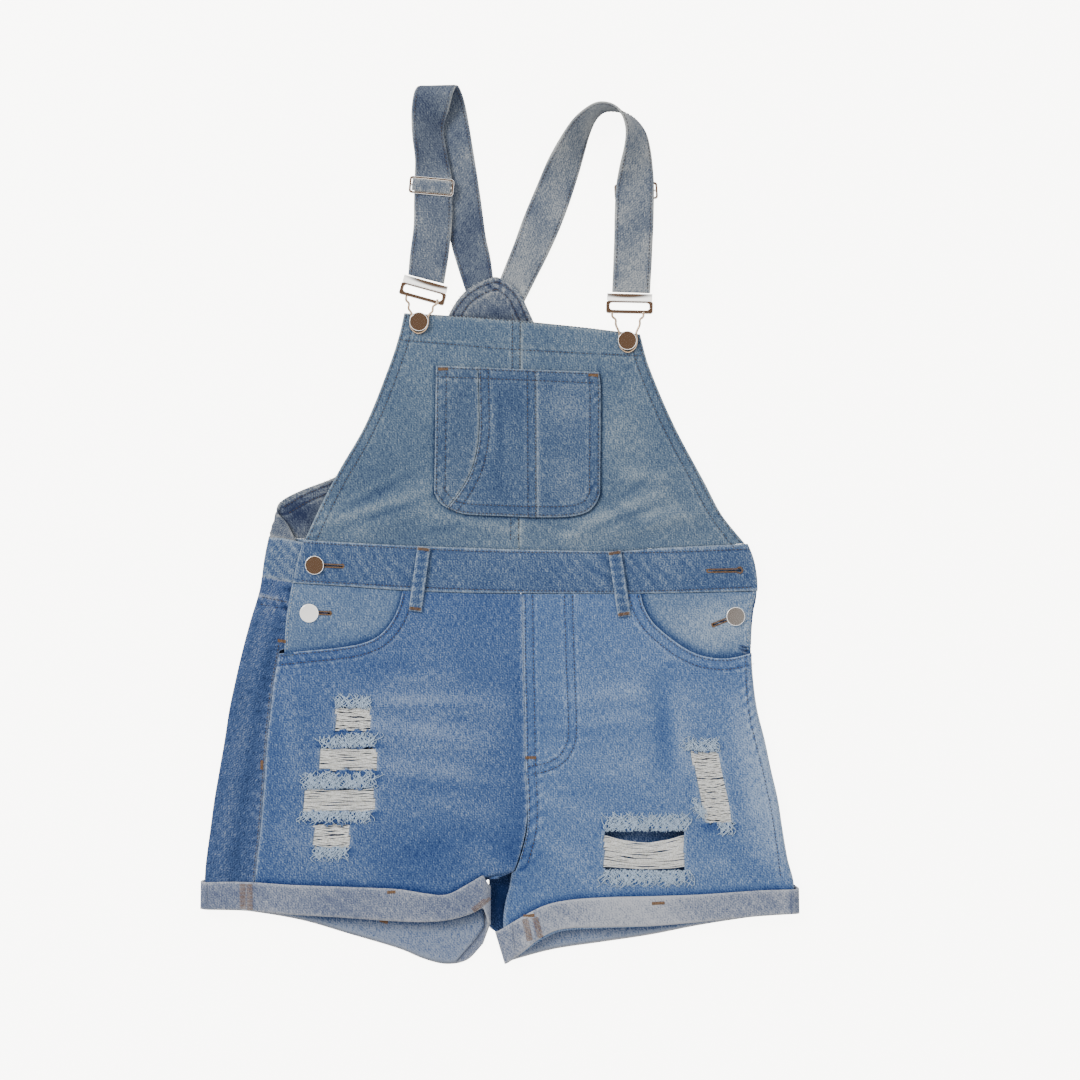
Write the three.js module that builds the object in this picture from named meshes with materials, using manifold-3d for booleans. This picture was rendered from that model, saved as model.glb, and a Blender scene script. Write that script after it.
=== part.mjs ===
// Denim dungaree shorts laid flat on their back, seen from above, in millimetres.
// +X runs to the viewer's right, +Y up the garment and +Z away from the ground.
// Left and right are the viewer's. Every cloth piece is a wall with its own outline, as a maker cuts it.

import * as THREE from "three";
import { mergeVertices } from "three/addons/utils/BufferGeometryUtils.js";
import Module from "manifold-3d";

const wasm = await Module();
wasm.setup();

// Cloth
const DENIM = 1.2; // one layer
const BAND = 2.0; // waistbands, two layers pressed together
const STRAP_LAYER = 2.0;
const CUFF_WALL = 2.4; // the hem turned up twice
const SEAM_GAP = 0.3;
const HALF_GAP = SEAM_GAP / 2;

// How far each layer's outer side lies above the back's turned-up edge, which is layer zero
const FACING_LAYER = DENIM + SEAM_GAP;
const WAISTBAND_LAYER = BAND + SEAM_GAP;
const PANEL_LAYER = 2 * (DENIM + SEAM_GAP);
const FOLD_LEFT_LOW = -257.5; // the side folds at the hems
const FOLD_RIGHT_LOW = 257;
const CROTCH_X = 2; // between the legs
const BIB_LAYER = 2.0;
const HEM_RAISE = 0.8; // the bib's turned top hem
const HEM_DEPTH = 21;
const PANEL_STEP = 30; // run in which a front panel climbs from the side seam
const UNDERLAP_LEFT = -150;
const UNDERLAP_RIGHT = 186;
const UNDERLAP_WAIST_LEFT = -140;

// Hardware
const BUTTON_RADIUS = 8.3;
const BUTTON_CAP = 2.3;
const SHANK_RADIUS = 2.2;
const WIRE_RADIUS = 1.0;
const FRAME_WIDTH = 41;
const FRAME_HEIGHT = 17.4;
const FRAME_PLATE = 2.0;

// Sections across the body: the left side fold, the left side seam, the centre seam and the right edge.
const BODY = [
  { y: 8, foldLeft: -197, seamLeft: -166, centre: 19, edgeRight: 205 },
  { y: -10, foldLeft: -202, seamLeft: -170, centre: 19, edgeRight: 213 },
  { y: -30, foldLeft: -206, seamLeft: -176, centre: 19.5, edgeRight: 221 },
  { y: -55, foldLeft: -209.5, seamLeft: -181, centre: 20, edgeRight: 224 },
  { y: -82, foldLeft: -217.5, seamLeft: -186, centre: 20.2, edgeRight: 220 },
  { y: -108, foldLeft: -224.5, seamLeft: -191.5, centre: 20.5, edgeRight: 219 },
  { y: -134, foldLeft: -230.5, seamLeft: -196.5, centre: 21, edgeRight: 220.5 },
  { y: -160, foldLeft: -236, seamLeft: -199.5, centre: 21.7, edgeRight: 224 },
  { y: -186, foldLeft: -240, seamLeft: -202.5, centre: 22, edgeRight: 230.5 },
  { y: -212, foldLeft: -244.5, seamLeft: -204.3, centre: 22.5, edgeRight: 236 },
  { y: -238, foldLeft: -249, seamLeft: -206, centre: 24, edgeRight: 242 },
  { y: -264, foldLeft: -252.5, seamLeft: -208.3, centre: 23, edgeRight: 246 },
  { y: -290, foldLeft: -256, seamLeft: -211.3, centre: 16.5, edgeRight: 250.5 },
  { y: -310, foldLeft: -257.3, seamLeft: -213.2, centre: 9.5, edgeRight: 255.5 },
  { y: -340, foldLeft: FOLD_LEFT_LOW, seamLeft: -215, centre: 9.5, edgeRight: FOLD_RIGHT_LOW },
];

// Height of layer zero above the ground, from the bib's top down to the hems
const RISE = [
  { y: 185, rise: 2.4 },
  { y: 95, rise: 3.0 },
  { y: 30, rise: 4.9 },
  { y: -20, rise: 6.9 },
  { y: -60, rise: 7.2 },
  { y: -110, rise: 7.7 },
  { y: -220, rise: 8.4 },
  { y: -310, rise: 8.6 },
  { y: -385, rise: 8.6 },
];

// Soft ridges (and troughs, with a negative height) of the upper layers
const FOLDS = [
  { x1: 62, y1: -8, x2: 138, y2: 26, height: 2.0, width: 9 },
  { x1: 100, y1: -6, x2: 150, y2: 8, height: 1.5, width: 7 },
  { x1: 112, y1: 44, x2: 142, y2: 42, height: 1.2, width: 7 },
  { x1: 132, y1: 4, x2: 172, y2: 12, height: 1.4, width: 7 },
  { x1: -150, y1: 4, x2: -58, y2: 32, height: 1.6, width: 9 },
  { x1: -122, y1: -6, x2: -66, y2: 18, height: 1.2, width: 8 },
  { x1: -108, y1: -152, x2: 4, y2: -158, height: 1.2, width: 9 },
  { x1: -104, y1: -178, x2: -16, y2: -192, height: 1.2, width: 10 },
  { x1: 138, y1: -140, x2: 146, y2: -206, height: -1.3, width: 11 },
  { x1: -36, y1: -276, x2: 8, y2: -296, height: 1.4, width: 9 },
  { x1: 34, y1: -266, x2: 92, y2: -318, height: 1.3, width: 11 },
  { x1: 176, y1: -262, x2: 232, y2: -306, height: -1.1, width: 12 },
  { x1: -190, y1: -268, x2: -120, y2: -304, height: 1.1, width: 12 },
  { x1: -228, y1: -130, x2: -243, y2: -296, height: 1.3, width: 8 },
];

// The cuffs' edges by place across the leg; the back hangs lower than the front.
const CUFF_LEFT = [
  { x: -254, frontTop: -309.3, frontBottom: -333.4, backBottom: -333.2 },
  { x: -226, frontTop: -309, frontBottom: -334, backBottom: -335 },
  { x: -174, frontTop: -311.5, frontBottom: -337.5, backBottom: -343.5 },
  { x: -130.5, frontTop: -313, frontBottom: -340, backBottom: -356 },
  { x: -87, frontTop: -315, frontBottom: -343, backBottom: -369 },
  { x: -65, frontTop: -318.5, frontBottom: -343.5, backBottom: -378 },
  { x: -46, frontTop: -319.5, frontBottom: -342, backBottom: -382 },
  { x: -28, frontTop: -310.5, frontBottom: -337.5, backBottom: -378 },
  { x: -14.5, frontTop: -302.5, frontBottom: -331, backBottom: -364 },
];
const CUFF_RIGHT = [
  { x: 11, frontTop: -343.5, frontBottom: -374, backBottom: -378.5 },
  { x: 34, frontTop: -331, frontBottom: -358, backBottom: -372 },
  { x: 52, frontTop: -325.5, frontBottom: -350, backBottom: -368 },
  { x: 87, frontTop: -322, frontBottom: -348, backBottom: -363 },
  { x: 130.5, frontTop: -321, frontBottom: -347, backBottom: -356.5 },
  { x: 174, frontTop: -319.5, frontBottom: -343.5, backBottom: -348 },
  { x: 226, frontTop: -316, frontBottom: -338.5, backBottom: -340 },
  { x: 254, frontTop: -315.2, frontBottom: -336.7, backBottom: -337 },
];
const CUFF_BACK_HEIGHT = 26;
const CUFF_ENDS = {
  left: { outer: { top: [-260.6, -309], bottom: [-261, -333] }, inner: { top: [-8, -313], bottom: [-8, -346] } },
  right: { outer: { top: [260.2, -315], bottom: [260.6, -336.8] }, inner: { top: [-4.5, -353], bottom: [4, -381] } },
};

// The inner leg seams below the crotch, and the centre back seam above it
const CENTRE_BACK = [
  { y: -20, left: 18, right: 18 },
  { y: -110, left: 18, right: 18 },
  { y: -210, left: 18, right: 18 },
  { y: -262, left: 15, right: 15 },
  { y: -298, left: 8, right: 9 },
  { y: -303, left: 1, right: 8 },
  { y: -308, left: -10, right: 7 },
  { y: -316, left: -14, right: 5.4 },
  { y: -330, left: -16.5, right: 4.4 },
  { y: -343, left: -18, right: 5 },
  { y: -356, left: -22, right: 8 },
  { y: -366, left: -27, right: 12 },
  { y: -376, left: -35, right: 18 },
];

// Rips in the two front panels: middle, size, slant per length, loose weft threads and their sag
const RIPS = [
  { name: "left_1", panel: "left", x: -127.5, y: -167.5, width: 30, height: 20, lean: 0, threads: 4, sag: 0.6 },
  { name: "left_2", panel: "left", x: -131.5, y: -202.5, width: 49, height: 19, lean: 0, threads: 4, sag: 0.8 },
  { name: "left_3", panel: "left", x: -139.5, y: -238, width: 61, height: 20, lean: 0, threads: 4, sag: 0.8 },
  { name: "left_4", panel: "left", x: -146, y: -269.5, width: 31, height: 20, lean: 0, threads: 4, sag: 0.6 },
  { name: "right_1", panel: "right", x: 184, y: -227, width: 24, height: 62, lean: -0.2, threads: 7, sag: 0.6 },
  { name: "right_2", panel: "right", x: 125, y: -282.5, width: 69, height: 37, lean: 0, threads: 6, sag: 5 },
];

// Frayed edges of the rips: a row of loose warp ends from a narrow strip, pointing up (1) or down (-1)
const FRAYS = [
  { name: "left_1", panel: "left", x1: -142, y1: -156, x2: -112, y2: -157, way: 1, length: 9, strands: 9 },
  { name: "left_2", panel: "left", x1: -154, y1: -191.5, x2: -108, y2: -188.5, way: 1, length: 9, strands: 12 },
  { name: "left_3", panel: "left", x1: -170, y1: -226, x2: -110, y2: -224, way: 1, length: 10, strands: 14 },
  { name: "left_4", panel: "left", x1: -172, y1: -249.5, x2: -112, y2: -249.5, way: -1, length: 6, strands: 12 },
  { name: "left_5", panel: "left", x1: -162, y1: -281.5, x2: -132, y2: -281, way: -1, length: 7, strands: 8 },
  { name: "right_1", panel: "right", x1: 160, y1: -193, x2: 190, y2: -194, way: 1, length: 7, strands: 9 },
  { name: "right_2", panel: "right", x1: 168, y1: -237, x2: 178, y2: -249, way: -1, length: 7, strands: 4 },
  { name: "right_3", panel: "right", x1: 190, y1: -259.5, x2: 203, y2: -259.5, way: -1, length: 7, strands: 5 },
  { name: "right_4", panel: "right", x1: 91, y1: -262.5, x2: 163, y2: -262.5, way: 1, length: 8, strands: 15 },
  { name: "right_5", panel: "right", x1: 90, y1: -302.5, x2: 165, y2: -302.5, way: -1, length: 7, strands: 15 },
];

// The straps, section by section: the two edges, the lower edge's height and the thickness.
// Edge a stands higher where the strap shows narrower than it is.
const STRAP_LEFT = [
  { ax: -80, ay: 219, bx: -48.7, by: 211, low: 4.3, rise: 0, thick: 4 },
  { ax: -78.3, ay: 238, bx: -44.8, by: 235.5, low: 4.4, rise: 0, thick: 4 },
  { ax: -75.3, ay: 262, bx: -42, by: 261, low: 4.6, rise: 0, thick: 4 },
  { ax: -75, ay: 284, bx: -41.6, by: 283, low: 4.8, rise: 0, thick: 4 },
  { ax: -74.3, ay: 305.5, bx: -42.2, by: 303.5, low: 5.2, rise: 0, thick: 2.2 },
  { ax: -73.8, ay: 321, bx: -45.4, by: 321, low: 5, rise: 8, thick: 2.2 },
  { ax: -75.7, ay: 338, bx: -48.9, by: 337.5, low: 5, rise: 13, thick: 2.2 },
  { ax: -76.3, ay: 353, bx: -48.7, by: 349, low: 6.5, rise: 13.5, thick: 2.2 },
  { ax: -75.7, ay: 366, bx: -44.4, by: 362, low: 11, rise: 8, thick: 2 },
  { ax: -74, ay: 375.5, bx: -40.5, by: 375, low: 16, rise: 1.5, thick: 2 },
  { ax: -70.5, ay: 381.5, bx: -37, by: 382.5, low: 10, rise: 0, thick: 2 },
  { ax: -66.5, ay: 376, bx: -33, by: 376.5, low: 3.2, rise: 0, thick: 2 },
  { ax: -62, ay: 361, bx: -29, by: 361, low: 1, rise: 0, thick: 2 },
  { ax: -55, ay: 323, bx: -22.6, by: 323, low: 1, rise: 0, thick: 2 },
  { ax: -49.3, ay: 288, bx: -17.2, by: 288, low: 1, rise: 0, thick: 2 },
  { ax: -43.5, ay: 250, bx: -12.4, by: 253, low: 1, rise: 0, thick: 2 },
  { ax: -38, ay: 229, bx: -8.4, by: 234, low: 1, rise: 0, thick: 2 },
  { ax: -28.6, ay: 200, bx: -5.6, by: 213, low: 1, rise: 0, thick: 2 },
];
const STRAP_RIGHT = [
  { ax: -1.4, ay: 212.5, bx: 20.5, by: 194, low: 1, rise: 0, thick: 2 },
  { ax: 5.6, ay: 230, bx: 32.2, by: 217.5, low: 1, rise: 0, thick: 2 },
  { ax: 13, ay: 249, bx: 42.6, by: 238, low: 1, rise: 0, thick: 2 },
  { ax: 21, ay: 271, bx: 52.4, by: 260, low: 1, rise: 0, thick: 2 },
  { ax: 31.6, ay: 296, bx: 61.4, by: 284, low: 1, rise: 2, thick: 2 },
  { ax: 42.4, ay: 318.5, bx: 68.7, by: 308, low: 1, rise: 15, thick: 2 },
  { ax: 53, ay: 336, bx: 74, by: 327, low: 1, rise: 22.5, thick: 2 },
  { ax: 63.5, ay: 350, bx: 78, by: 341.5, low: 1, rise: 27.5, thick: 2 },
  { ax: 74, ay: 359, bx: 82.5, by: 352.5, low: 1, rise: 30.5, thick: 2 },
  { ax: 83.5, ay: 363.8, bx: 88, by: 359, low: 1, rise: 31.5, thick: 2 },
  { ax: 93.1, ay: 363.6, bx: 94.5, by: 361.8, low: 1, rise: 31.6, thick: 2 },
  { ax: 101.4, ay: 359, bx: 106, by: 361, low: 1, rise: 31, thick: 2 },
  { ax: 106.6, ay: 351, bx: 118, by: 355, low: 1, rise: 29.5, thick: 2 },
  { ax: 108.8, ay: 340.5, bx: 126.8, by: 343.5, low: 1, rise: 26.5, thick: 2 },
  { ax: 107.5, ay: 327, bx: 131.2, by: 328, low: 1.4, rise: 21.5, thick: 2 },
  { ax: 103.5, ay: 310, bx: 133.2, by: 310.5, low: 2.6, rise: 12, thick: 2 },
  { ax: 100.8, ay: 294, bx: 134.2, by: 294.5, low: 4.2, rise: 0, thick: 2.2 },
  { ax: 99.8, ay: 271.5, bx: 134, by: 271.5, low: 3, rise: 0, thick: 4 },
  { ax: 99.2, ay: 244.5, bx: 133, by: 244.5, low: 2.6, rise: 0, thick: 4 },
  { ax: 97.6, ay: 204, bx: 130.8, by: 203, low: 3.6, rise: 0, thick: 4 },
];

const BUTTONS = {
  button_bib_left: { x: -70.5, y: 177.5, layer: "bib", finish: "metalWarm" },
  button_bib_right: { x: 110.7, y: 161.2, layer: "bib", finish: "metalWarm" },
  button_waist_left: { x: -161, y: -34, layer: "waistband", finish: "metalWarm" },
  button_hip_left: { x: -166, y: -75.3, layer: "facing", finish: "metal" },
  button_hip_right: { x: 204.5, y: -78.5, layer: "facing", finish: "metal" },
};

const FINISH = {
  denim: { color: "#66809f", roughness: 0.92, metalness: 0 },
  denimLight: { color: "#7892a6", roughness: 0.92, metalness: 0 },
  denimDeep: { color: "#5a729a", roughness: 0.92, metalness: 0 },
  denimBib: { color: "#6d8294", roughness: 0.92, metalness: 0 },
  denimInside: { color: "#929fa8", roughness: 0.94, metalness: 0 },
  thread: { color: "#cfcbb8", roughness: 0.95, metalness: 0 },
  fray: { color: "#aebfca", roughness: 0.95, metalness: 0 },
  metal: { color: "#c9c6c2", roughness: 0.2, metalness: 1 },
  metalWarm: { color: "#8a7462", roughness: 0.2, metalness: 1 },
};

const lerp = THREE.MathUtils.lerp;
const clamp01 = (t) => THREE.MathUtils.clamp(t, 0, 1);
const ease = (t) => clamp01(t) * clamp01(t) * (3 - 2 * clamp01(t));

/** A smooth function through one column of a table, carried on straight past its ends. */
function column(table, key, name) {
  const at = table.map((row) => row[key]);
  const value = table.map((row) => row[name]);
  const last = at.length - 1;
  const slope = value.map((_, i) => {
    const before = Math.max(i - 1, 0);
    const after = Math.min(i + 1, last);
    return (value[after] - value[before]) / (at[after] - at[before]);
  });
  const direction = Math.sign(at[last] - at[0]);
  return (t) => {
    if ((t - at[0]) * direction <= 0) return value[0] + slope[0] * (t - at[0]);
    if ((t - at[last]) * direction >= 0) return value[last] + slope[last] * (t - at[last]);
    let i = 0;
    while ((t - at[i + 1]) * direction > 0) i += 1;
    const step = at[i + 1] - at[i];
    const u = (t - at[i]) / step;
    const change = value[i + 1] - value[i];
    const leaving = (1 - u) * (slope[i] * step - change);
    const arriving = u * (change - slope[i + 1] * step);
    return lerp(value[i], value[i + 1], u) + u * (1 - u) * (leaving + arriving);
  };
}

const foldLeft = column(BODY, "y", "foldLeft");
const seamLeft = column(BODY, "y", "seamLeft");
const centreFront = column(BODY, "y", "centre");
const edgeRight = column(BODY, "y", "edgeRight");
const riseAt = column(RISE, "y", "rise");
const centreBackLeft = column(CENTRE_BACK, "y", "left");
const centreBackRight = column(CENTRE_BACK, "y", "right");

/** Height that the soft folds add at a place. */
function foldsAt(x, y) {
  let sum = 0;
  for (const fold of FOLDS) {
    const dx = fold.x2 - fold.x1;
    const dy = fold.y2 - fold.y1;
    const along = clamp01(((x - fold.x1) * dx + (y - fold.y1) * dy) / (dx * dx + dy * dy));
    const distance = Math.hypot(x - fold.x1 - along * dx, y - fold.y1 - along * dy);
    sum += fold.height * Math.exp(-((distance / fold.width) ** 2));
  }
  return sum;
}

const layerZero = (x, y) => riseAt(y) + foldsAt(x, y);

const cuffTable = (x) => (x < CROTCH_X ? CUFF_LEFT : CUFF_RIGHT);
const hemOf = (table, name) => column(table, "x", name);

/** The back lies on the ground, and on the cuff inside the cuff. */
function groundAt(x, y) {
  const table = cuffTable(x);
  const place = THREE.MathUtils.clamp(x, table[0].x, table[table.length - 1].x);
  const top = hemOf(table, "backBottom")(place) + CUFF_BACK_HEIGHT;
  const reach = 22;
  const run = 16;
  return (CUFF_WALL + 1.5 * SEAM_GAP) * ease((top + reach - y) / run);
}

/** Outer side of the front panels, which climb over the pocket facings and round off at the right edge. */
function panelTop(x, y) {
  const top = layerZero(x, y) + PANEL_LAYER * ease((x - seamLeft(y)) / PANEL_STEP);
  const ground = groundAt(x, y);
  const middle = (top + ground) / 2;
  const radius = (top - ground) / 2;
  const inset = edgeRight(y) - x;
  if (inset < radius) {
    const lean = clamp01((radius - inset) / radius);
    return middle + SEAM_GAP + (top - middle - SEAM_GAP) * Math.sqrt(1 - lean * lean);
  }
  return top;
}

/** A front panel comes down to the back along the inner leg seam, below the crotch. */
function inseamDrop(x, y, seamX) {
  const crotch = -296;
  const run = 16;
  const reach = 9;
  const near = 1 - ease(Math.abs(x - seamX) / reach);
  const low = groundAt(x, y) + 2 * (DENIM + SEAM_GAP);
  const top = panelTop(x, y);
  return lerp(top, low, near * ease((crotch - y) / run));
}

/** Outer side of the bib, which droops a little at its free edges. */
function bibTop(x, y) {
  const droop = 1.2;
  const run = 18;
  const left = bibLeftEdge(y);
  const right = bibRightEdge(y);
  const near = Math.max(1 - ease((x - left) / run), 1 - ease((right - x) / run));
  const free = ease((y - 40) / 50);
  return layerZero(x, y) + BIB_LAYER - droop * near * free;
}

const point = (x, y, z = 0) => new THREE.Vector3(x, y, z);

/** A boundary made of smooth stretches that meet at corners, read by its share of the length. */
function route(...stretches) {
  const curve = new THREE.CurvePath();
  for (const stretch of stretches) {
    const points = stretch.map(([x, y]) => point(x, y));
    curve.add(
      points.length === 2
        ? new THREE.LineCurve3(points[0], points[1])
        : new THREE.CatmullRomCurve3(points, false, "centripetal"),
    );
  }
  return (t) => curve.getPointAt(clamp01(t));
}

/** A boundary that follows a function of y. */
const follow = (edge, from, to, shift = 0) => (t) => {
  const y = lerp(from, to, t);
  return point(edge(y) + shift, y);
};

/** Places from 0 to 1 with some rows or columns at set distances from either end. */
function places(count, startInsets = [], endInsets = []) {
  const list = [{ share: 0, inset: 0 }];
  startInsets.forEach((inset) => list.push({ share: 0, inset }));
  for (let i = 1; i < count; i += 1) list.push({ share: i / count, inset: 0 });
  endInsets.forEach((inset) => list.push({ share: 1, inset: -inset }));
  list.push({ share: 1, inset: 0 });
  return list;
}

/** A grid of plan points filling four boundaries: top and bottom run left to right, the sides run down. */
function patch({ top, bottom, left, right, columns, rows }) {
  const height = left(0).distanceTo(left(1));
  return rows.map(({ share, inset }) => {
    const v = share + inset / height;
    const width = left(v).distanceTo(right(v));
    return columns.map((place) => {
      const u = place.share + place.inset / width;
      const sum = top(u).multiplyScalar(1 - v);
      sum.addScaledVector(bottom(u), v).addScaledVector(left(v), 1 - u).addScaledVector(right(v), u);
      sum.addScaledVector(top(0), -(1 - u) * (1 - v)).addScaledVector(top(1), -u * (1 - v));
      sum.addScaledVector(bottom(0), -(1 - u) * v).addScaledVector(bottom(1), -u * v);
      return sum;
    });
  });
}

const raise = (grid, height) => grid.map((row) => row.map((p) => point(p.x, p.y, height(p.x, p.y))));

/** Unit normals of a grid of points. */
function gridNormals(grid) {
  return grid.map((row, r) =>
    row.map((_, c) => {
      const across = grid[r][Math.min(c + 1, row.length - 1)].clone().sub(grid[r][Math.max(c - 1, 0)]);
      const down = grid[Math.min(r + 1, grid.length - 1)][c].clone().sub(grid[Math.max(r - 1, 0)][c]);
      return across.cross(down).normalize();
    }),
  );
}

/** Closes two matching grids into one solid. */
function solidBetween(outer, inner) {
  const rows = outer.length;
  const columns = outer[0].length;
  const positions = [...outer.flat(), ...inner.flat()].flatMap((p) => [p.x, p.y, p.z]);
  const far = rows * columns;
  const faces = [];
  const quad = (a, b, c, d) => faces.push(a, b, c, a, c, d);
  for (let r = 0; r < rows - 1; r += 1) {
    for (let c = 0; c < columns - 1; c += 1) {
      const i = r * columns + c;
      quad(i, i + columns, i + columns + 1, i + 1);
      quad(far + i, far + i + 1, far + i + columns + 1, far + i + columns);
    }
  }
  for (let c = 0; c < columns - 1; c += 1) {
    const end = (rows - 1) * columns + c;
    quad(c, c + 1, far + c + 1, far + c);
    quad(end, far + end, far + end + 1, end + 1);
  }
  for (let r = 0; r < rows - 1; r += 1) {
    const i = r * columns;
    const end = i + columns - 1;
    quad(i, far + i, far + i + columns, i + columns);
    quad(end, end + columns, far + end + columns, far + end);
  }
  return facingOut(positions, faces);
}

/** A geometry whose faces point out whichever way round they were listed. */
function facingOut(positions, faces) {
  const at = (i) => point(positions[3 * i], positions[3 * i + 1], positions[3 * i + 2]);
  let volume = 0;
  for (let i = 0; i < faces.length; i += 3) {
    volume += at(faces[i]).dot(at(faces[i + 1]).cross(at(faces[i + 2])));
  }
  const order = volume < 0 ? faces.map((_, i) => faces[i - (i % 3) + 2 - (i % 3)]) : faces;
  const geometry = new THREE.BufferGeometry();
  geometry.setAttribute("position", new THREE.Float32BufferAttribute(positions, 3));
  geometry.setIndex(order);
  return geometry;
}

/** Cloth: a wall whose outer side is the grid, with its thickness on the side that its normals point to. */
function wall(grid, thickness, side = 1) {
  const normals = gridNormals(grid);
  const inner = grid.map((row, r) => row.map((p, c) => p.clone().addScaledVector(normals[r][c], side * thickness)));
  return solidBetween(grid, inner);
}

/** A strip of cloth about its middle surface, with its thickness given row by row. */
function strip(grid, thickness) {
  const normals = gridNormals(grid);
  const shifted = (sign) =>
    grid.map((row, r) => row.map((p, c) => p.clone().addScaledVector(normals[r][c], (sign * thickness[r]) / 2)));
  return solidBetween(shifted(1), shifted(-1));
}

function toManifold(geometry) {
  const bare = geometry.clone();
  bare.deleteAttribute("normal");
  bare.deleteAttribute("uv");
  const merged = mergeVertices(bare, 1e-4);
  return new wasm.Manifold(
    new wasm.Mesh({
      numProp: 3,
      vertProperties: Float32Array.from(merged.attributes.position.array),
      triVerts: Uint32Array.from(merged.index.array),
    }),
  );
}

function fromManifold(solid) {
  const { vertProperties, triVerts } = solid.getMesh();
  const geometry = new THREE.BufferGeometry();
  geometry.setAttribute("position", new THREE.BufferAttribute(Float32Array.from(vertProperties), 3));
  geometry.setIndex(new THREE.BufferAttribute(Uint32Array.from(triVerts), 1));
  return geometry;
}

/** An upright block with the given outline. */
function prism(outline, low, high) {
  const shape = new THREE.Shape(outline.map(([x, y]) => new THREE.Vector2(x, y)));
  const geometry = new THREE.ExtrudeGeometry(shape, { depth: high - low, bevelEnabled: false });
  return geometry.translate(0, 0, low);
}

const cut = (geometry, tools) =>
  fromManifold(tools.reduce((solid, tool) => solid.subtract(toManifold(tool)), toManifold(geometry)));
const join = (geometries) =>
  fromManifold(geometries.map(toManifold).reduce((sum, solid) => sum.add(solid)));

const garment = new THREE.Group();

function add(name, geometry, finish) {
  const { color, roughness, metalness } = FINISH[finish];
  const mesh = new THREE.Mesh(geometry, new THREE.MeshStandardMaterial({ color, roughness, metalness }));
  mesh.name = name;
  garment.add(mesh);
}

// Front outlines. Corners are where one stretch ends and the next begins.
const BIB_LEFT = [
  { y: 185.5, x: -83.5 },
  { y: 166, x: -88 },
  { y: 140, x: -96.5 },
  { y: 88, x: -117.5 },
  { y: 48.5, x: -140 },
  { y: 19.5, x: -155 },
  { y: -12, x: -169.5 },
];
const BIB_RIGHT = [
  { y: 167, x: 122 },
  { y: 140, x: 129.5 },
  { y: 88, x: 151.5 },
  { y: 36, x: 179 },
  { y: 9.5, x: 193 },
  { y: -15.5, x: 213 },
];
function bibLeftEdge(y) {
  return column(BIB_LEFT, "y", "x")(y);
}
function bibRightEdge(y) {
  return column(BIB_RIGHT, "y", "x")(y);
}
const bibSeam = (y) => lerp(16.7, 18.4, (y + 20) / 200);

const WAIST_TOP = [
  { x: -170, y: -12 },
  { x: -122, y: -15 },
  { x: -70, y: -17.5 },
  { x: -26, y: -19 },
  { x: 17, y: -20.5 },
  { x: 61, y: -21.5 },
  { x: 100, y: -22 },
  { x: 139, y: -19 },
  { x: 213, y: -15.4 },
];
const WAIST_BOTTOM = [
  { x: -180, y: -49.5 },
  { x: -139, y: -52 },
  { x: -84.5, y: -56 },
  { x: -35, y: -58 },
  { x: 20, y: -58.5 },
  { x: 122, y: -58.5 },
  { x: 224, y: -56.5 },
];
const waistTop = column(WAIST_TOP, "x", "y");
const waistBottom = column(WAIST_BOTTOM, "x", "y");
/** A boundary along a function of x, moved up or down. */
const along = (edge, from, to, shift = 0) => (t) => {
  const x = lerp(from, to, t);
  return point(x, edge(x) + shift);
};

const OPENING_LEFT = [
  [-191.8, -111],
  [-166, -108.3],
  [-141, -105.8],
  [-120, -102],
  [-105.5, -95.5],
  [-95, -84.5],
  [-88, -70.5],
  [-84.5, -57],
];
const OPENING_RIGHT = [
  [122, -59.3],
  [124.5, -69.5],
  [133, -84],
  [147.5, -97],
  [162, -107],
  [176.5, -113],
  [196.5, -115],
  [218.5, -110.6],
];

function addBib() {
  const hem = (x, y, top) => HEM_RAISE * ease((HEM_DEPTH + 1 - (top(x) - y)) / 2);
  const topLine = (x) => lerp(185.5, 167, (x + 83.5) / 205.5) + 2.2 * Math.sin((Math.PI * (x + 83.5)) / 205.5);
  const height = (x, y) => bibTop(x, y) + hem(x, y, topLine);
  const regular = places(9);
  const hemRow = (inset) => ({ share: 0, inset }); // these take the place of the first regular row
  const rows = [regular[0], hemRow(HEM_DEPTH - 1.5), hemRow(HEM_DEPTH + 1.5), ...regular.slice(2)];
  const left = patch({
    top: along(topLine, -83.5, 18.4 - HALF_GAP),
    bottom: along(waistTop, -169.5, 16.7 - HALF_GAP, SEAM_GAP),
    left: follow(bibLeftEdge, 185.5, -12 + SEAM_GAP),
    right: follow(bibSeam, topLine(18.4), waistTop(16.7) + SEAM_GAP, -HALF_GAP),
    columns: places(8, [6]),
    rows,
  });
  const right = patch({
    top: along(topLine, 18.4 + HALF_GAP, 122),
    bottom: along(waistTop, 16.7 + HALF_GAP, 212.5, SEAM_GAP),
    left: follow(bibSeam, topLine(18.4), waistTop(16.7) + SEAM_GAP, HALF_GAP),
    right: follow(bibRightEdge, 167, -15.4 + SEAM_GAP),
    columns: places(8, [], [6]),
    rows,
  });
  add("bib_left", wall(raise(left, height), DENIM), "denimBib");
  add("bib_right", wall(raise(right, height), DENIM), "denimBib");
}

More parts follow.
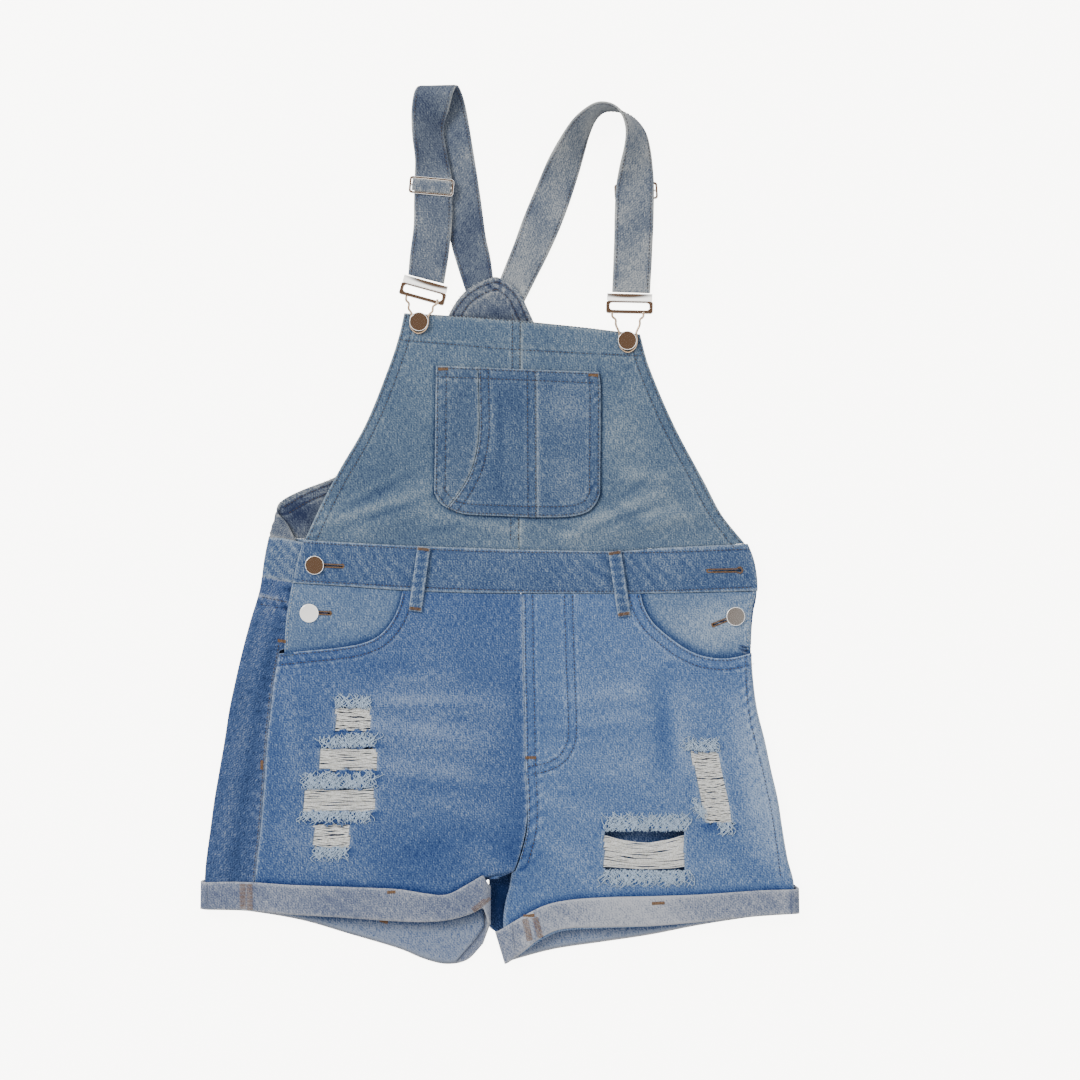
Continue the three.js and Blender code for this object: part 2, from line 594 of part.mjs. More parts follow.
/** The bib pocket, pieced from a side panel behind a curved seam, a centre and a right panel. */
function addPocket() {
  const height = (x, y) => bibTop(x, y) + 3 * SEAM_GAP + DENIM;
  const pocketTop = (x) => lerp(139.7, 134, (x + 56) / 142);
  const topStop = 0.2;
  const curve = route([
    [-19, 139.5],
    [-18.2, 104],
    [-18.6, 76],
    [-23.5, 52],
    [-32, 34.5],
    [-45.6, 15.6],
  ]);
  const shifted = (edge, by) => (t) => edge(t).add(point(by, 0));
  const rows = places(8);
  const side = patch({
    top: along(pocketTop, -55.7, -19 - HALF_GAP, -topStop),
    bottom: route([
      [-57, 28.5],
      [-53, 21],
      [-46.4, 15.8],
    ]),
    left: route([
      [-55.7, 139.5],
      [-56.3, 90],
      [-57, 28.5],
    ]),
    right: shifted(curve, -HALF_GAP - topStop),
    columns: places(3),
    rows,
  });
  const seamX = (y) => lerp(32.2, 31.4, (y - 7) / 130);
  const centre = patch({
    top: along(pocketTop, -19 + HALF_GAP, 31.4 - HALF_GAP, -topStop),
    bottom: route([
      [-45.2, 15.3],
      [-32, 10.5],
      [0, 8.7],
      [32, 7.5],
    ]),
    left: shifted(curve, HALF_GAP + topStop),
    right: follow(seamX, 135.9, 7.5, -HALF_GAP),
    columns: places(4),
    rows,
  });
  const right = patch({
    top: along(pocketTop, 31.4 + HALF_GAP, 85.8, -topStop),
    bottom: route([
      [32.4, 7.5],
      [60, 8.2],
      [75.5, 12],
      [83, 19],
      [87, 28],
    ]),
    left: follow(seamX, 135.9, 7.5, HALF_GAP),
    right: route([
      [85.8, 134],
      [87.4, 122],
      [87, 28],
    ]),
    columns: places(4),
    rows,
  });
  add("pocket_side", wall(raise(side, height), DENIM), "denimDeep");
  add("pocket_centre", wall(raise(centre, height), DENIM), "denim");
  add("pocket_right", wall(raise(right, height), DENIM), "denim");
}

/** A buttonhole: a slit that ends in a round eye. */
function buttonhole(eyeX, eyeY, endX, endY, eyeRadius) {
  const slit = 1.6;
  const ways = 12;
  const low = 2;
  const high = 16;
  const turn = Math.atan2(endY - eyeY, endX - eyeX);
  const length = Math.hypot(endX - eyeX, endY - eyeY);
  const block = prism(
    [
      [0, -slit / 2],
      [length, -slit / 2],
      [length, slit / 2],
      [0, slit / 2],
    ],
    low,
    high,
  );
  block.rotateZ(turn).translate(eyeX, eyeY, 0);
  const eye = new THREE.CylinderGeometry(eyeRadius, eyeRadius, high - low, ways);
  eye.rotateX(Math.PI / 2).translate(eyeX, eyeY, (low + high) / 2);
  return [block, eye];
}
const SHANK_EYE = SHANK_RADIUS + 0.5;

function addWaistbandFront() {
  const grid = patch({
    top: along(waistTop, -169.7, 213),
    bottom: along(waistBottom, -180, 224),
    left: follow((y) => seamLeft(y), -12, -49.5),
    right: follow((y) => edgeRight(y), -15.4, -56.5),
    columns: places(24),
    rows: places(3),
  });
  const height = (x, y) => layerZero(x, y) + WAISTBAND_LAYER;
  const emptyEye = 1.9;
  const holes = [
    ...buttonhole(-161, -34, -137, -35, SHANK_EYE),
    ...buttonhole(208.2, -38.5, 181, -39, emptyEye),
  ];
  add("waistband_front", cut(wall(raise(grid, height), BAND), holes), "denim");
}

/** A belt loop, sewn down at both ends and bowed over the waistband. */
function addBeltLoop(name, from, to) {
  const width = 11.3;
  const bow = 0.9;
  const steps = 8;
  const wallThickness = 2;
  const run = point(to[0] - from[0], to[1] - from[1]);
  const across = point(-run.y, run.x).normalize().multiplyScalar(-width / 2);
  const rows = [];
  for (let i = 0; i <= steps; i += 1) {
    const t = i / steps;
    const middle = point(from[0], from[1]).addScaledVector(run, t);
    const clear = lerp(BIB_LAYER + 0.8, PANEL_LAYER, ease(t * 1.4)) + SEAM_GAP;
    const z = (p) => layerZero(p.x, p.y) + clear + bow * Math.sin(Math.PI * t);
    rows.push(
      [-1, 0, 1].map((side) => {
        const p = middle.clone().addScaledVector(across, side);
        return point(p.x, p.y, z(p));
      }),
    );
  }
  add(name, wall(rows, wallThickness), "denim");
}

const roughEdge = (count, seed) => (i) => 0.9 * Math.sin(seed + i * 2.4) * (i > 0 && i < count ? 1 : 0);

/** The outline of a rip's window, with uneven long edges. */
function windowOutline(rip) {
  const steps = 7;
  const shake = roughEdge(steps, rip.x);
  const outline = [];
  const place = (u, v, jag) => {
    const y = rip.y + (v - 0.5) * rip.height + jag;
    return [rip.x + (u - 0.5) * rip.width + rip.lean * (y - rip.y), y];
  };
  for (let i = 0; i <= steps; i += 1) outline.push(place(i / steps, 0, shake(i)));
  for (let i = steps; i >= 0; i -= 1) outline.push(place(i / steps, 1, shake(i + 3)));
  return outline;
}

const windowsIn = (side) => RIPS.filter((rip) => rip.panel === side).map((rip) => prism(windowOutline(rip), 3, 20));

const INSEAM_FRONT_LEFT = [
  { y: -301, x: 9.3 },
  { y: -304, x: -3 },
  { y: -307, x: -13 },
  { y: -314, x: -15 },
  { y: -330, x: -15.5 },
];
const INSEAM_FRONT_RIGHT = [
  { y: -301, x: 9.7 },
  { y: -316, x: 7 },
  { y: -330, x: 3.6 },
  { y: -345, x: 2.2 },
  { y: -356, x: 3.6 },
  { y: -376, x: 12 },
];
const inseamLeft = column(INSEAM_FRONT_LEFT, "y", "x");
const inseamRight = column(INSEAM_FRONT_RIGHT, "y", "x");
const CROTCH = -301;
const HEM_TUCK = 1.8; // the legs end just inside the cuffs' turned edge
/** Half the gap at the centre seams, which open a little towards the crotch. */
const part = (y) => HALF_GAP + 0.5 * ease((-240 - y) / 30);

function addFrontPanels() {
  const rows = places(13);
  const leftEdge = (y) => (y > CROTCH ? centreFront(y) - part(y) : inseamLeft(y) - part(y));
  const rightEdge = (y) => (y > CROTCH ? centreFront(y) + part(y) : inseamRight(y) + part(y));
  const left = patch({
    top: route(OPENING_LEFT, [
      [-84.5, -57],
      [-35, -58.6],
      [19.85, -59],
    ]),
    bottom: along(hemOf(CUFF_LEFT, "frontBottom"), -214.7, -15.5, HEM_TUCK),
    left: follow(seamLeft, -111, -331.6, HALF_GAP),
    right: follow(leftEdge, -59, -329.2),
    columns: places(11, [6], [9, 4]),
    rows,
  });
  const right = patch({
    top: route(
      [
        [20.15, -59],
        [70, -59],
        [122, -59.3],
      ],
      OPENING_RIGHT,
    ),
    bottom: along(hemOf(CUFF_RIGHT, "frontBottom"), 12, FOLD_RIGHT_LOW, HEM_TUCK),
    left: follow(rightEdge, -59, -376),
    right: follow(edgeRight, -110.6, -335),
    columns: places(11, [4, 9], [6, 2.5, 0.7]),
    rows,
  });
  const leftHeight = (x, y) => inseamDrop(x, y, inseamLeft(y));
  const rightHeight = (x, y) => inseamDrop(x, y, inseamRight(y));
  add("front_left", cut(wall(raise(left, leftHeight), DENIM), windowsIn("left")), "denim");
  add("front_right", cut(wall(raise(right, rightHeight), DENIM), windowsIn("right")), "denim");
}

/** The piece that shows in each pocket's mouth, with the buttonhole of the side opening. */
function addHipFacings() {
  const height = (x, y) => layerZero(x, y) + FACING_LAYER;
  const left = patch({
    top: along(waistBottom, -180.5, -76, -SEAM_GAP),
    bottom: route([
      [-187.5, -108.2],
      [-162, -106.3],
      [-150, -112],
      [-135, -116],
      [-108, -108],
      [-86, -90],
    ]),
    left: route([
      [-180.5, -50],
      [-183.5, -66],
      [-186, -84],
      [-187.5, -108.2],
    ]),
    right: route([
      [-76, -56.9],
      [-80, -74],
      [-86, -90],
    ]),
    columns: places(9),
    rows: places(6),
  });
  const right = patch({
    top: along(waistBottom, 114, 223.4, -SEAM_GAP),
    bottom: route([
      [120, -92],
      [138, -108],
      [160, -118.5],
      [180, -122],
      [196, -113],
      [218, -108.4],
    ]),
    left: route([
      [114, -58.8],
      [116, -74],
      [120, -92],
    ]),
    right: route([
      [223.4, -57],
      [219.6, -70],
      [218.2, -84],
      [218, -108.4],
    ]),
    columns: places(9),
    rows: places(6),
  });
  const holeLeft = buttonhole(-166, -75.3, -148, -75.8, SHANK_EYE);
  const holeRight = buttonhole(204.5, -78.5, 185.5, -86, SHANK_EYE);
  add("hip_facing_left", cut(wall(raise(left, height), DENIM), holeLeft), "denimLight");
  add("hip_facing_right", cut(wall(raise(right, height), DENIM), holeRight), "denimLight");
}

/** Where a place across the unrolled back lands: on the ground, round the side fold or on the front. */
function turnUp(side, g, y, closed = false) {
  const fold = side < 0 ? foldLeft(y) : edgeRight(y);
  const ground = groundAt(fold, y);
  const beside = 12; // just inside the front panel's rounded edge
  const top = closed ? panelTop(fold - beside, y) : layerZero(fold, y);
  const radius = (top - ground) / 2;
  const past = (g - fold) * side;
  if (past <= -radius) return point(g, y, groundAt(g, y));
  if (past >= radius) {
    const x = 2 * fold - g;
    return point(x, y, lerp(top, layerZero(x, y), ease((past - radius) / 10)));
  }
  const angle = (Math.PI * (past + radius)) / (2 * radius);
  return point(fold - side * radius * (1 - Math.sin(angle)), y, ground + radius * (1 - Math.cos(angle)));
}

/** Places across the unrolled back from start to end, closer together round the fold. */
function acrossBack(side, start, end, y, counts) {
  const fold = side < 0 ? foldLeft(y) : edgeRight(y);
  const radius = (layerZero(fold, y) - groundAt(fold, y)) / 2 + 1;
  const edge = Math.min(30, Math.abs(end - start) / 2);
  const passes = (end - fold) * side > 3 - radius;
  const nearFold = passes ? fold - side * radius : end - side * edge;
  const farFold = (end - fold) * side > radius + 2 ? fold + side * radius : lerp(nearFold, end, 0.6);
  const spread = (from, to, count) => Array.from({ length: count }, (_, i) => lerp(from, to, i / count));
  return [
    ...spread(start, nearFold, counts.ground),
    ...spread(nearFold, farFold, counts.fold),
    ...spread(farFold, end, counts.front),
    end,
  ];
}

/** A back piece, flat on the ground and turned up round the side. Edges are functions of the unrolled place. */
function backPiece({ side, start, end, top, bottom, rows, counts }) {
  const rounds = 4; // each place depends on its height and the other way round, so both settle together
  return rows.map(({ share, closed = false }) => {
    const heightAt = (g) => lerp(top(g), bottom(g), share);
    const middle = heightAt(side * 100);
    return acrossBack(side, start(middle), end(middle, share), middle, counts).map((guess, i) => {
      let g = guess;
      for (let n = 0; n < rounds; n += 1) {
        const y = heightAt(g);
        g = acrossBack(side, start(y), end(y, share), y, counts)[i];
      }
      return turnUp(side, g, heightAt(g), closed);
    });
  });
}

// Edges of the back pieces by their place across the unrolled back
const BACK_GAP = 0.5;
const BACK_EDGES = [
  { g: -280, bandTop: -18, bandBottom: -52, yokeBottom: -68 },
  { g: -242, bandTop: -15.5, bandBottom: -50, yokeBottom: -66.5 },
  { g: -206, bandTop: -10, bandBottom: -44.5, yokeBottom: -60 },
  { g: -100, bandTop: -16, bandBottom: -54, yokeBottom: -84 },
  { g: 18, bandTop: -20, bandBottom: -58.5, yokeBottom: -106 },
  { g: 120, bandTop: -20, bandBottom: -58, yokeBottom: -88 },
  { g: 222, bandTop: -16, bandBottom: -57, yokeBottom: -72 },
  { g: 262, bandTop: -16, bandBottom: -56, yokeBottom: -70 },
];
const bandTop = column(BACK_EDGES, "g", "bandTop");
const bandBottom = column(BACK_EDGES, "g", "bandBottom");
const yokeBottom = column(BACK_EDGES, "g", "yokeBottom");
const shiftBy = (edge, by) => (g) => edge(g) + by;
const overFold = (fold, x) => (y) => 2 * fold(y) - x;

function addWaistbandBack() {
  const rows = places(3);
  const left = backPiece({
    side: -1,
    start: () => 18,
    end: overFold(foldLeft, UNDERLAP_WAIST_LEFT),
    top: bandTop,
    bottom: bandBottom,
    rows,
    counts: { ground: 8, fold: 6, front: 3 },
  });
  const right = backPiece({
    side: 1,
    start: () => 18,
    end: overFold(edgeRight, UNDERLAP_RIGHT),
    top: bandTop,
    bottom: bandBottom,
    rows,
    counts: { ground: 8, fold: 6, front: 3 },
  });
  const whole = left.map((row, r) => [...row.slice(1).reverse(), ...right[r]]);
  add("waistband_back", wall(whole, BAND, -1), "denim");
}

function addBackPanels() {
  for (const { name, side } of [
    { name: "left", side: -1 },
    { name: "right", side: 1 },
  ]) {
    const fold = side < 0 ? foldLeft : edgeRight;
    const underlap = side < 0 ? UNDERLAP_LEFT : UNDERLAP_RIGHT;
    const seam = (y) => (side < 0 ? 2 * foldLeft(y) - seamLeft(y) + HALF_GAP : edgeRight(y) - SEAM_GAP);
    const inner = side < 0 ? centreBackLeft : centreBackRight;
    const table = side < 0 ? CUFF_LEFT : CUFF_RIGHT;
    const counts = { ground: 8, fold: 5, front: 2 };
    const yoke = backPiece({
      side,
      start: () => 18 + side * HALF_GAP,
      end: overFold(fold, underlap),
      top: shiftBy(bandBottom, -BACK_GAP),
      bottom: yokeBottom,
      rows: places(3),
      counts,
    });
    add(`back_yoke_${name}`, wall(yoke, DENIM, -side), "denim");
    const backHem = hemOf(table, "backBottom");
    const frontHem = hemOf(table, "frontBottom");
    const clampX = (x) => THREE.MathUtils.clamp(x, table[0].x, table[table.length - 1].x);
    const hem = (g) => {
      const past = (g - (side < 0 ? FOLD_LEFT_LOW : FOLD_RIGHT_LOW)) * side;
      const onGround = backHem(clampX(g));
      const onFront = frontHem(clampX(2 * (side < 0 ? FOLD_LEFT_LOW : FOLD_RIGHT_LOW) - g));
      return lerp(onGround, onFront, ease((past + 4) / 8)) + HEM_TUCK;
    };
    const openRows = [0, 0.06, 0.115];
    const rows = [...openRows, 0.155, 0.24, 0.34, 0.46, 0.58, 0.7, 0.79, 0.86, 0.91, 0.96, 1];
    const openRow = (share) => share < 0.12;
    const panel = backPiece({
      side,
      start: (y) => inner(y) + side * part(y),
      end: (y, share) => (openRow(share) ? overFold(fold, underlap)(y) : seam(y)),
      top: shiftBy(yokeBottom, -BACK_GAP),
      bottom: hem,
      rows: rows.map((share) => ({ share, closed: side > 0 && !openRow(share) })),
      counts,
    });
    add(`back_${name}`, wall(panel, DENIM, -side), "denim");
  }
}

// The back bib's two armhole edges, in the unrolled plane at the left
const BACK_BIB = [
  { y: 217, left: -6.5, right: -2.5 },
  { y: 212.5, left: -18, right: 8 },
  { y: 204, left: -31, right: 17 },
  { y: 189.5, left: -42, right: 24 },
  { y: 160, left: -56, right: 38 },
  { y: 135.5, left: -69.5, right: 51 },
  { y: 108, left: -86, right: 70 },
  { y: 82, left: -104.5, right: 89 },
  { y: 62, left: -123, right: 110 },
  { y: 43.5, left: -142.5, right: 132 },
  { y: 30, left: -173, right: 150 },
  { y: 20, left: -190, right: 162 },
  { y: 8, left: -198, right: 178 },
  { y: -3, left: -213, right: 192 },
  { y: -15, left: -228, right: 206 },
];

function addBackBib() {
  const leftEdge = column(BACK_BIB, "y", "left");
  const rightEdge = column(BACK_BIB, "y", "right");
  const strapEnds = (x, y) => (STRAP_LAYER + SEAM_GAP) * ease((y - 178) / 10);
  const reach = 205;
  const grid = BACK_BIB.map(({ y }) => {
    const shareDown = ease((60 - y) / 75);
    return acrossBack(-1, rightEdge(y), leftEdge(y), y, { ground: 9, fold: 6, front: 2 }).map((g) => {
      const bend = shareDown * (bandTop(THREE.MathUtils.clamp(g, -reach - 30, reach)) + 15 + SEAM_GAP);
      const p = turnUp(-1, g, y + bend);
      return p.setZ(p.z + strapEnds(g, y));
    });
  });
  add("back_bib", wall(grid, DENIM, 1), "denimInside");
}

/** A strap from its table, sampled between the sections. */
function strapGrid(table) {
  const perSpan = 2;
  const numbered = table.map((row, i) => ({ ...row, i }));
  const read = Object.fromEntries(
    ["ax", "ay", "bx", "by", "low", "rise", "thick"].map((name) => [name, column(numbered, "i", name)]),
  );
  const total = (table.length - 1) * perSpan;
  const grid = [];
  const thickness = [];
  for (let i = 0; i <= total; i += 1) {
    const t = i / perSpan;
    const low = Math.max(STRAP_LAYER / 2, read.low(t));
    const a = point(read.ax(t), read.ay(t), low + Math.max(0, read.rise(t)));
    const b = point(read.bx(t), read.by(t), low);
    grid.push([a, a.clone().lerp(b, 0.5), b]);
    thickness.push(read.thick(t));
  }
  return { grid, thickness };
}

function addStraps() {
  for (const [name, table] of [
    ["strap_left", STRAP_LEFT],
    ["strap_right", STRAP_RIGHT],
  ]) {
    const { grid, thickness } = strapGrid(table);
    add(name, strip(grid, thickness), "denimLight");
  }
}

/** Round wire along a curve. */
function wire(points, closed) {
  const sides = 6;
  const curve = new THREE.CatmullRomCurve3(points, closed, "centripetal");
  const ring = [];
  for (let i = 0; i < sides; i += 1) {
    const angle = (2 * Math.PI * i) / sides;
    ring.push(new THREE.Vector2(WIRE_RADIUS * Math.cos(angle), WIRE_RADIUS * Math.sin(angle)));
  }
  const steps = points.length * 2;
  return new THREE.ExtrudeGeometry(new THREE.Shape(ring), { steps, extrudePath: curve, bevelEnabled: false });
}

/** A strap adjuster: a rounded oblong of bar with a bar across its middle. */
function addSlider(name, { x, y, z, turn, width, height }) {
  const corner = 2.5;
  const bar = 1.8;
  const outline = roundedBox(width, height, corner);
  for (const side of [-1, 1]) {
    const hole = roundedBox(width - 2 * bar, (height - 3 * bar) / 2, 1);
    const shift = (side * (height - bar)) / 4;
    outline.holes.push(new THREE.Path(hole.getPoints(1).map((p) => new THREE.Vector2(p.x, p.y + shift))));
  }
  const geometry = new THREE.ExtrudeGeometry(outline, { depth: bar, bevelEnabled: false, curveSegments: 2 });
  geometry.translate(0, 0, -bar / 2).rotateZ(turn).translate(x, y, z);
  add(name, geometry, "metal");
}

function roundedBox(width, height, corner) {
  const x = width / 2;
  const y = height / 2;
  const shape = new THREE.Shape();
  shape.moveTo(-x + corner, -y);
  shape.lineTo(x - corner, -y).absarc(x - corner, -y + corner, corner, -Math.PI / 2, 0);
  shape.lineTo(x, y - corner).absarc(x - corner, y - corner, corner, 0, Math.PI / 2);
  shape.lineTo(-x + corner, y).absarc(-x + corner, y - corner, corner, Math.PI / 2, Math.PI);
  shape.lineTo(-x, -y + corner).absarc(-x + corner, -y + corner, corner, Math.PI, 1.5 * Math.PI);
  return shape;
}

/** A dungaree buckle's frame: a folded plate over a slot with a bar below it. */
function addBuckleFrame(name, { x, y, z, turn }) {
  const outline = roundedBox(FRAME_WIDTH, FRAME_HEIGHT, 2);
  const slot = roundedBox(34.5, 6.2, 2);
  const shift = -2.4;
  outline.holes.push(new THREE.Path(slot.getPoints(3).map((p) => new THREE.Vector2(p.x, p.y + shift))));
  const geometry = new THREE.ExtrudeGeometry(outline, {
    depth: FRAME_PLATE,
    bevelEnabled: false,
    curveSegments: 3,
  });
  geometry.translate(0, 0, -FRAME_PLATE / 2).rotateZ(turn).translate(x, y, z);
  add(name, geometry, "metalWarm");
}

/** The buckle's wire hook, from the frame's bar round the button's shank and back. Sides are left and right. */
function addBuckleHook(name, { x, y, z, turn, reach }) {
  const half = [
    [13.6, reach],
    [13.4, reach - 4],
    [10.6, reach - 6.5],
    [10.4, reach - 11],
    [7.6, 7.2],
    [9.4, 1],
    [6.6, -6.4],
  ];
  const points = [
    ...half.map(([u, v]) => point(-u, v)),
    point(0, -9.2),
    ...half.toReversed().map(([u, v]) => point(u, v)),
  ];
  const geometry = wire(points, false);
  geometry.rotateZ(turn).translate(x, y, z);
  add(name, geometry, "metal");
}

/** A shank button: a domed cap on a short post, turned as one. */
function addButton(name, { x, y, layer, finish }) {
  const ways = 16;
  const hookRoom = 2 * WIRE_RADIUS + 2 * SEAM_GAP;
  const seats = {
    bib: { seat: bibTop(x, y) + HEM_RAISE + SEAM_GAP, under: bibTop(x, y) + HEM_RAISE + hookRoom + 0.3 },
    waistband: { seat: layerZero(x, y) + SEAM_GAP, under: layerZero(x, y) + WAISTBAND_LAYER + 0.7 },
    facing: { seat: layerZero(x, y) + SEAM_GAP, under: layerZero(x, y) + FACING_LAYER + 0.7 },
  };
  const { seat, under } = seats[layer];
  const rim = 0.6;
  const profile = [
    [0, seat],
    [SHANK_RADIUS, seat],
    [SHANK_RADIUS, under],
    [BUTTON_RADIUS - rim, under],
    [BUTTON_RADIUS, under + rim],
    [BUTTON_RADIUS, under + BUTTON_CAP - 2 * rim],
    [BUTTON_RADIUS - rim, under + BUTTON_CAP - rim],
    [0, under + BUTTON_CAP],
  ];
  const geometry = new THREE.LatheGeometry(profile.map(([r, h]) => new THREE.Vector2(r, h)), ways);
  geometry.rotateX(Math.PI / 2).translate(x, y, 0);
  add(name, geometry, finish);
}

/** A turned-up hem: a flattened ring of cloth round both layers of a leg. */
function addCuff(name, table, ends, innerSide) {
  const stations = 13;
  const read = (key) => hemOf(table, key);
  const firstX = table[0].x;
  const lastX = table[table.length - 1].x;
  const across = Array.from({ length: stations }, (_, i) => lerp(firstX, lastX, i / (stations - 1)));
  const clear = 2.5 * SEAM_GAP;
  const rise = (x) => {
    const highest = Math.max(panelTop(x, read("frontTop")(x)), panelTop(x, read("frontBottom")(x)));
    return highest + CUFF_WALL + clear;
  };
  const slant = innerSide === "left" ? 3 : 0;
  const frontAt = (x) => {
    const near = ease((30 - Math.abs(x - (innerSide === "left" ? firstX : lastX))) / 30);
    return {
      top: point(x, read("frontTop")(x), rise(x)),
      bottom: point(x + slant * near, read("frontBottom")(x), rise(x)),
      out: point(0, 0, 1),
    };
  };
  const backAt = (x) => ({
    top: point(x, read("backBottom")(x) + CUFF_BACK_HEIGHT, 0),
    bottom: point(x, read("backBottom")(x), 0),
    out: point(0, 0, -1),
  });
  const front = across.map(frontAt);
  const back = across.toReversed().map(backAt);
  const corner = (near, far, end, sign) => {
    const middle = (near.top.z + far.top.z) / 2;
    const turns = 6;
    const list = [];
    for (let i = 1; i < turns; i += 1) {
      const angle = (Math.PI * i) / turns;
      const from = i * 2 <= turns ? near : far;
      const reach = Math.sin(angle);
      const z = middle + (near.top.z - middle) * Math.cos(angle);
      const mix = (a, b) => point(lerp(a.x, b[0], reach), lerp(a.y, b[1], reach), z);
      list.push({
        top: mix(from.top, end.top),
        bottom: mix(from.bottom, end.bottom),
        out: point(sign * reach, 0, Math.sign(near.out.z) * Math.cos(angle)),
      });
    }
    return list;
  };
  const [atLast, atFirst] = innerSide === "left" ? [ends.outer, ends.inner] : [ends.inner, ends.outer];
  const loop = [
    ...front,
    ...corner(front.at(-1), back[0], atLast, 1),
    ...back,
    ...corner(back.at(-1), front[0], atFirst, -1),
  ];
  const section = [
    [0, 0.04],
    [0, 0.97],
    [0.6, 1],
    [CUFF_WALL, 1],
    [CUFF_WALL, 0],
    [0.8, 0],
  ];
  const positions = [];
  for (const { top, bottom, out } of loop) {
    for (const [depth, height] of section) {
      const p = bottom.clone().lerp(top, height).addScaledVector(out, -depth);
      positions.push(p.x, p.y, p.z);
    }
  }
  const faces = [];
  const sides = section.length;
  loop.forEach((_, i) => {
    const next = ((i + 1) % loop.length) * sides;
    for (let j = 0; j < sides; j += 1) {
      const after = (j + 1) % sides;
      faces.push(i * sides + j, next + j, next + after, i * sides + j, next + after, i * sides + after);
    }
  });
  add(name, facingOut(positions, faces), "denimInside");
}

/** A bar with a square section between two places. */
function thread(from, to, thickness) {
  const run = to.clone().sub(from);
  const box = new THREE.BoxGeometry(run.length(), thickness, thickness);
  const turn = new THREE.Quaternion().setFromUnitVectors(point(1, 0, 0), run.clone().normalize());
  return box.applyQuaternion(turn).translate(...from.clone().lerp(to, 0.5));
}

/** The loose weft threads left across a rip, joined by a narrow strip of cloth at each side. */
function addRipThreads(rip) {
  const thickness = 0.9;
  const stripWidth = 1.4;
  const depth = 1.0;
  const clear = SEAM_GAP + 0.3;
  const level = (x, y) => panelTop(x, y) - depth;
  const edge = (side, v) => {
    const y = rip.y + (v - 0.5) * (rip.height - 4);
    const x = rip.x + side * (rip.width / 2 - clear - stripWidth / 2) + rip.lean * (y - rip.y);
    return point(x, y, level(x, y));
  };
  const pieces = [];
  for (const side of [-1, 1]) {
    const from = edge(side, 0);
    const to = edge(side, 1);
    pieces.push(thread(from, to, stripWidth));
  }
  for (let i = 0; i < rip.threads; i += 1) {
    const v = (i + 0.5) / rip.threads;
    const a = edge(-1, v);
    const b = edge(1, v);
    const sag = rip.sag * (0.5 + 0.5 * Math.sin(i * 2.1 + rip.x));
    const middle = a.clone().lerp(b, 0.5);
    middle.y -= sag;
    middle.z = level(middle.x, middle.y);
    pieces.push(thread(a, middle, thickness), thread(middle, b, thickness * 0.97));
  }
  add(`rip_threads_${rip.name}`, join(pieces), "thread");
}

/** Loose warp ends along a frayed edge: three-sided locks rooted in a narrow strip. */
function addFray(fray) {
  const stripDepth = 0.8;
  const root = 1.1;
  const clear = 0.5;
  const from = point(fray.x1, fray.y1);
  const to = point(fray.x2, fray.y2);
  const rest = (p) => p.setZ(panelTop(p.x, p.y) + clear + stripDepth / 2);
  const segments = 3;
  const pieces = [];
  for (let i = 0; i < segments; i += 1) {
    const a = rest(from.clone().lerp(to, i / segments));
    const b = rest(from.clone().lerp(to, (i + 1.02) / segments));
    pieces.push(thread(a, b, stripDepth * (1 - 0.02 * i)));
  }
  for (let i = 0; i < fray.strands; i += 1) {
    const t = (i + 0.5) / fray.strands;
    const wave = Math.sin(i * 2.7 + fray.x1);
    const length = fray.length * (0.75 + 0.25 * wave);
    const base = rest(from.clone().lerp(to, t));
    const lock = new THREE.ConeGeometry(root / 2, length, 3);
    lock.translate(0, length / 2 - 0.2, 0);
    if (fray.way < 0) lock.rotateZ(Math.PI);
    lock.rotateX(fray.way * 0.06).rotateZ(0.3 * Math.sin(i * 1.9 + fray.y1));
    lock.translate(base.x, base.y, base.z + 0.1);
    pieces.push(lock);
  }
  add(`fray_${fray.name}`, join(pieces), "fray");
}

addBackPanels();
addWaistbandBack();
addBackBib();
addHipFacings();
addFrontPanels();
addWaistbandFront();
addBib();
addPocket();
addBeltLoop("belt_loop_left", [-66, -18.4], [-73.6, -74]);
addBeltLoop("belt_loop_right", [99.5, -21.6], [108, -78.5]);
addStraps();
addSlider("slider_left", { x: -59.6, y: 295.4, z: 8.2, turn: -0.09, width: 39, height: 15 });
addSlider("slider_right", { x: 118.6, y: 291.8, z: 1.0, turn: 0.06, width: 38, height: 15 });
addBuckleFrame("buckle_frame_left", { x: -66.6, y: 205.3, z: 4.6, turn: -0.27 });
addBuckleFrame("buckle_frame_right", { x: 112.8, y: 193.6, z: 4.6, turn: -0.02 });
addBuckleHook("buckle_hook_left", { x: -70.5, y: 177, z: 7.0, turn: -0.12, reach: 22 });
addBuckleHook("buckle_hook_right", { x: 111.2, y: 160.6, z: 7.0, turn: 0.0, reach: 25.5 });
for (const [name, button] of Object.entries(BUTTONS)) addButton(name, button);
addCuff("cuff_left", CUFF_LEFT, CUFF_ENDS.left, "right");
addCuff("cuff_right", CUFF_RIGHT, CUFF_ENDS.right, "left");
RIPS.forEach(addRipThreads);
FRAYS.forEach(addFray);

export default garment;
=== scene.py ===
"""Denim dungaree shorts laid flat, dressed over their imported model.

Tables and sizes are in millimetres, with +X to the viewer's right, +Y up the
garment and +Z away from the ground. Meshes are made in metres.
"""

from __future__ import annotations

import logging
import math
from collections.abc import Callable, Sequence
from dataclasses import dataclass
from enum import Enum

import bmesh
import bpy
import numpy as np
from mathutils import Matrix, Vector


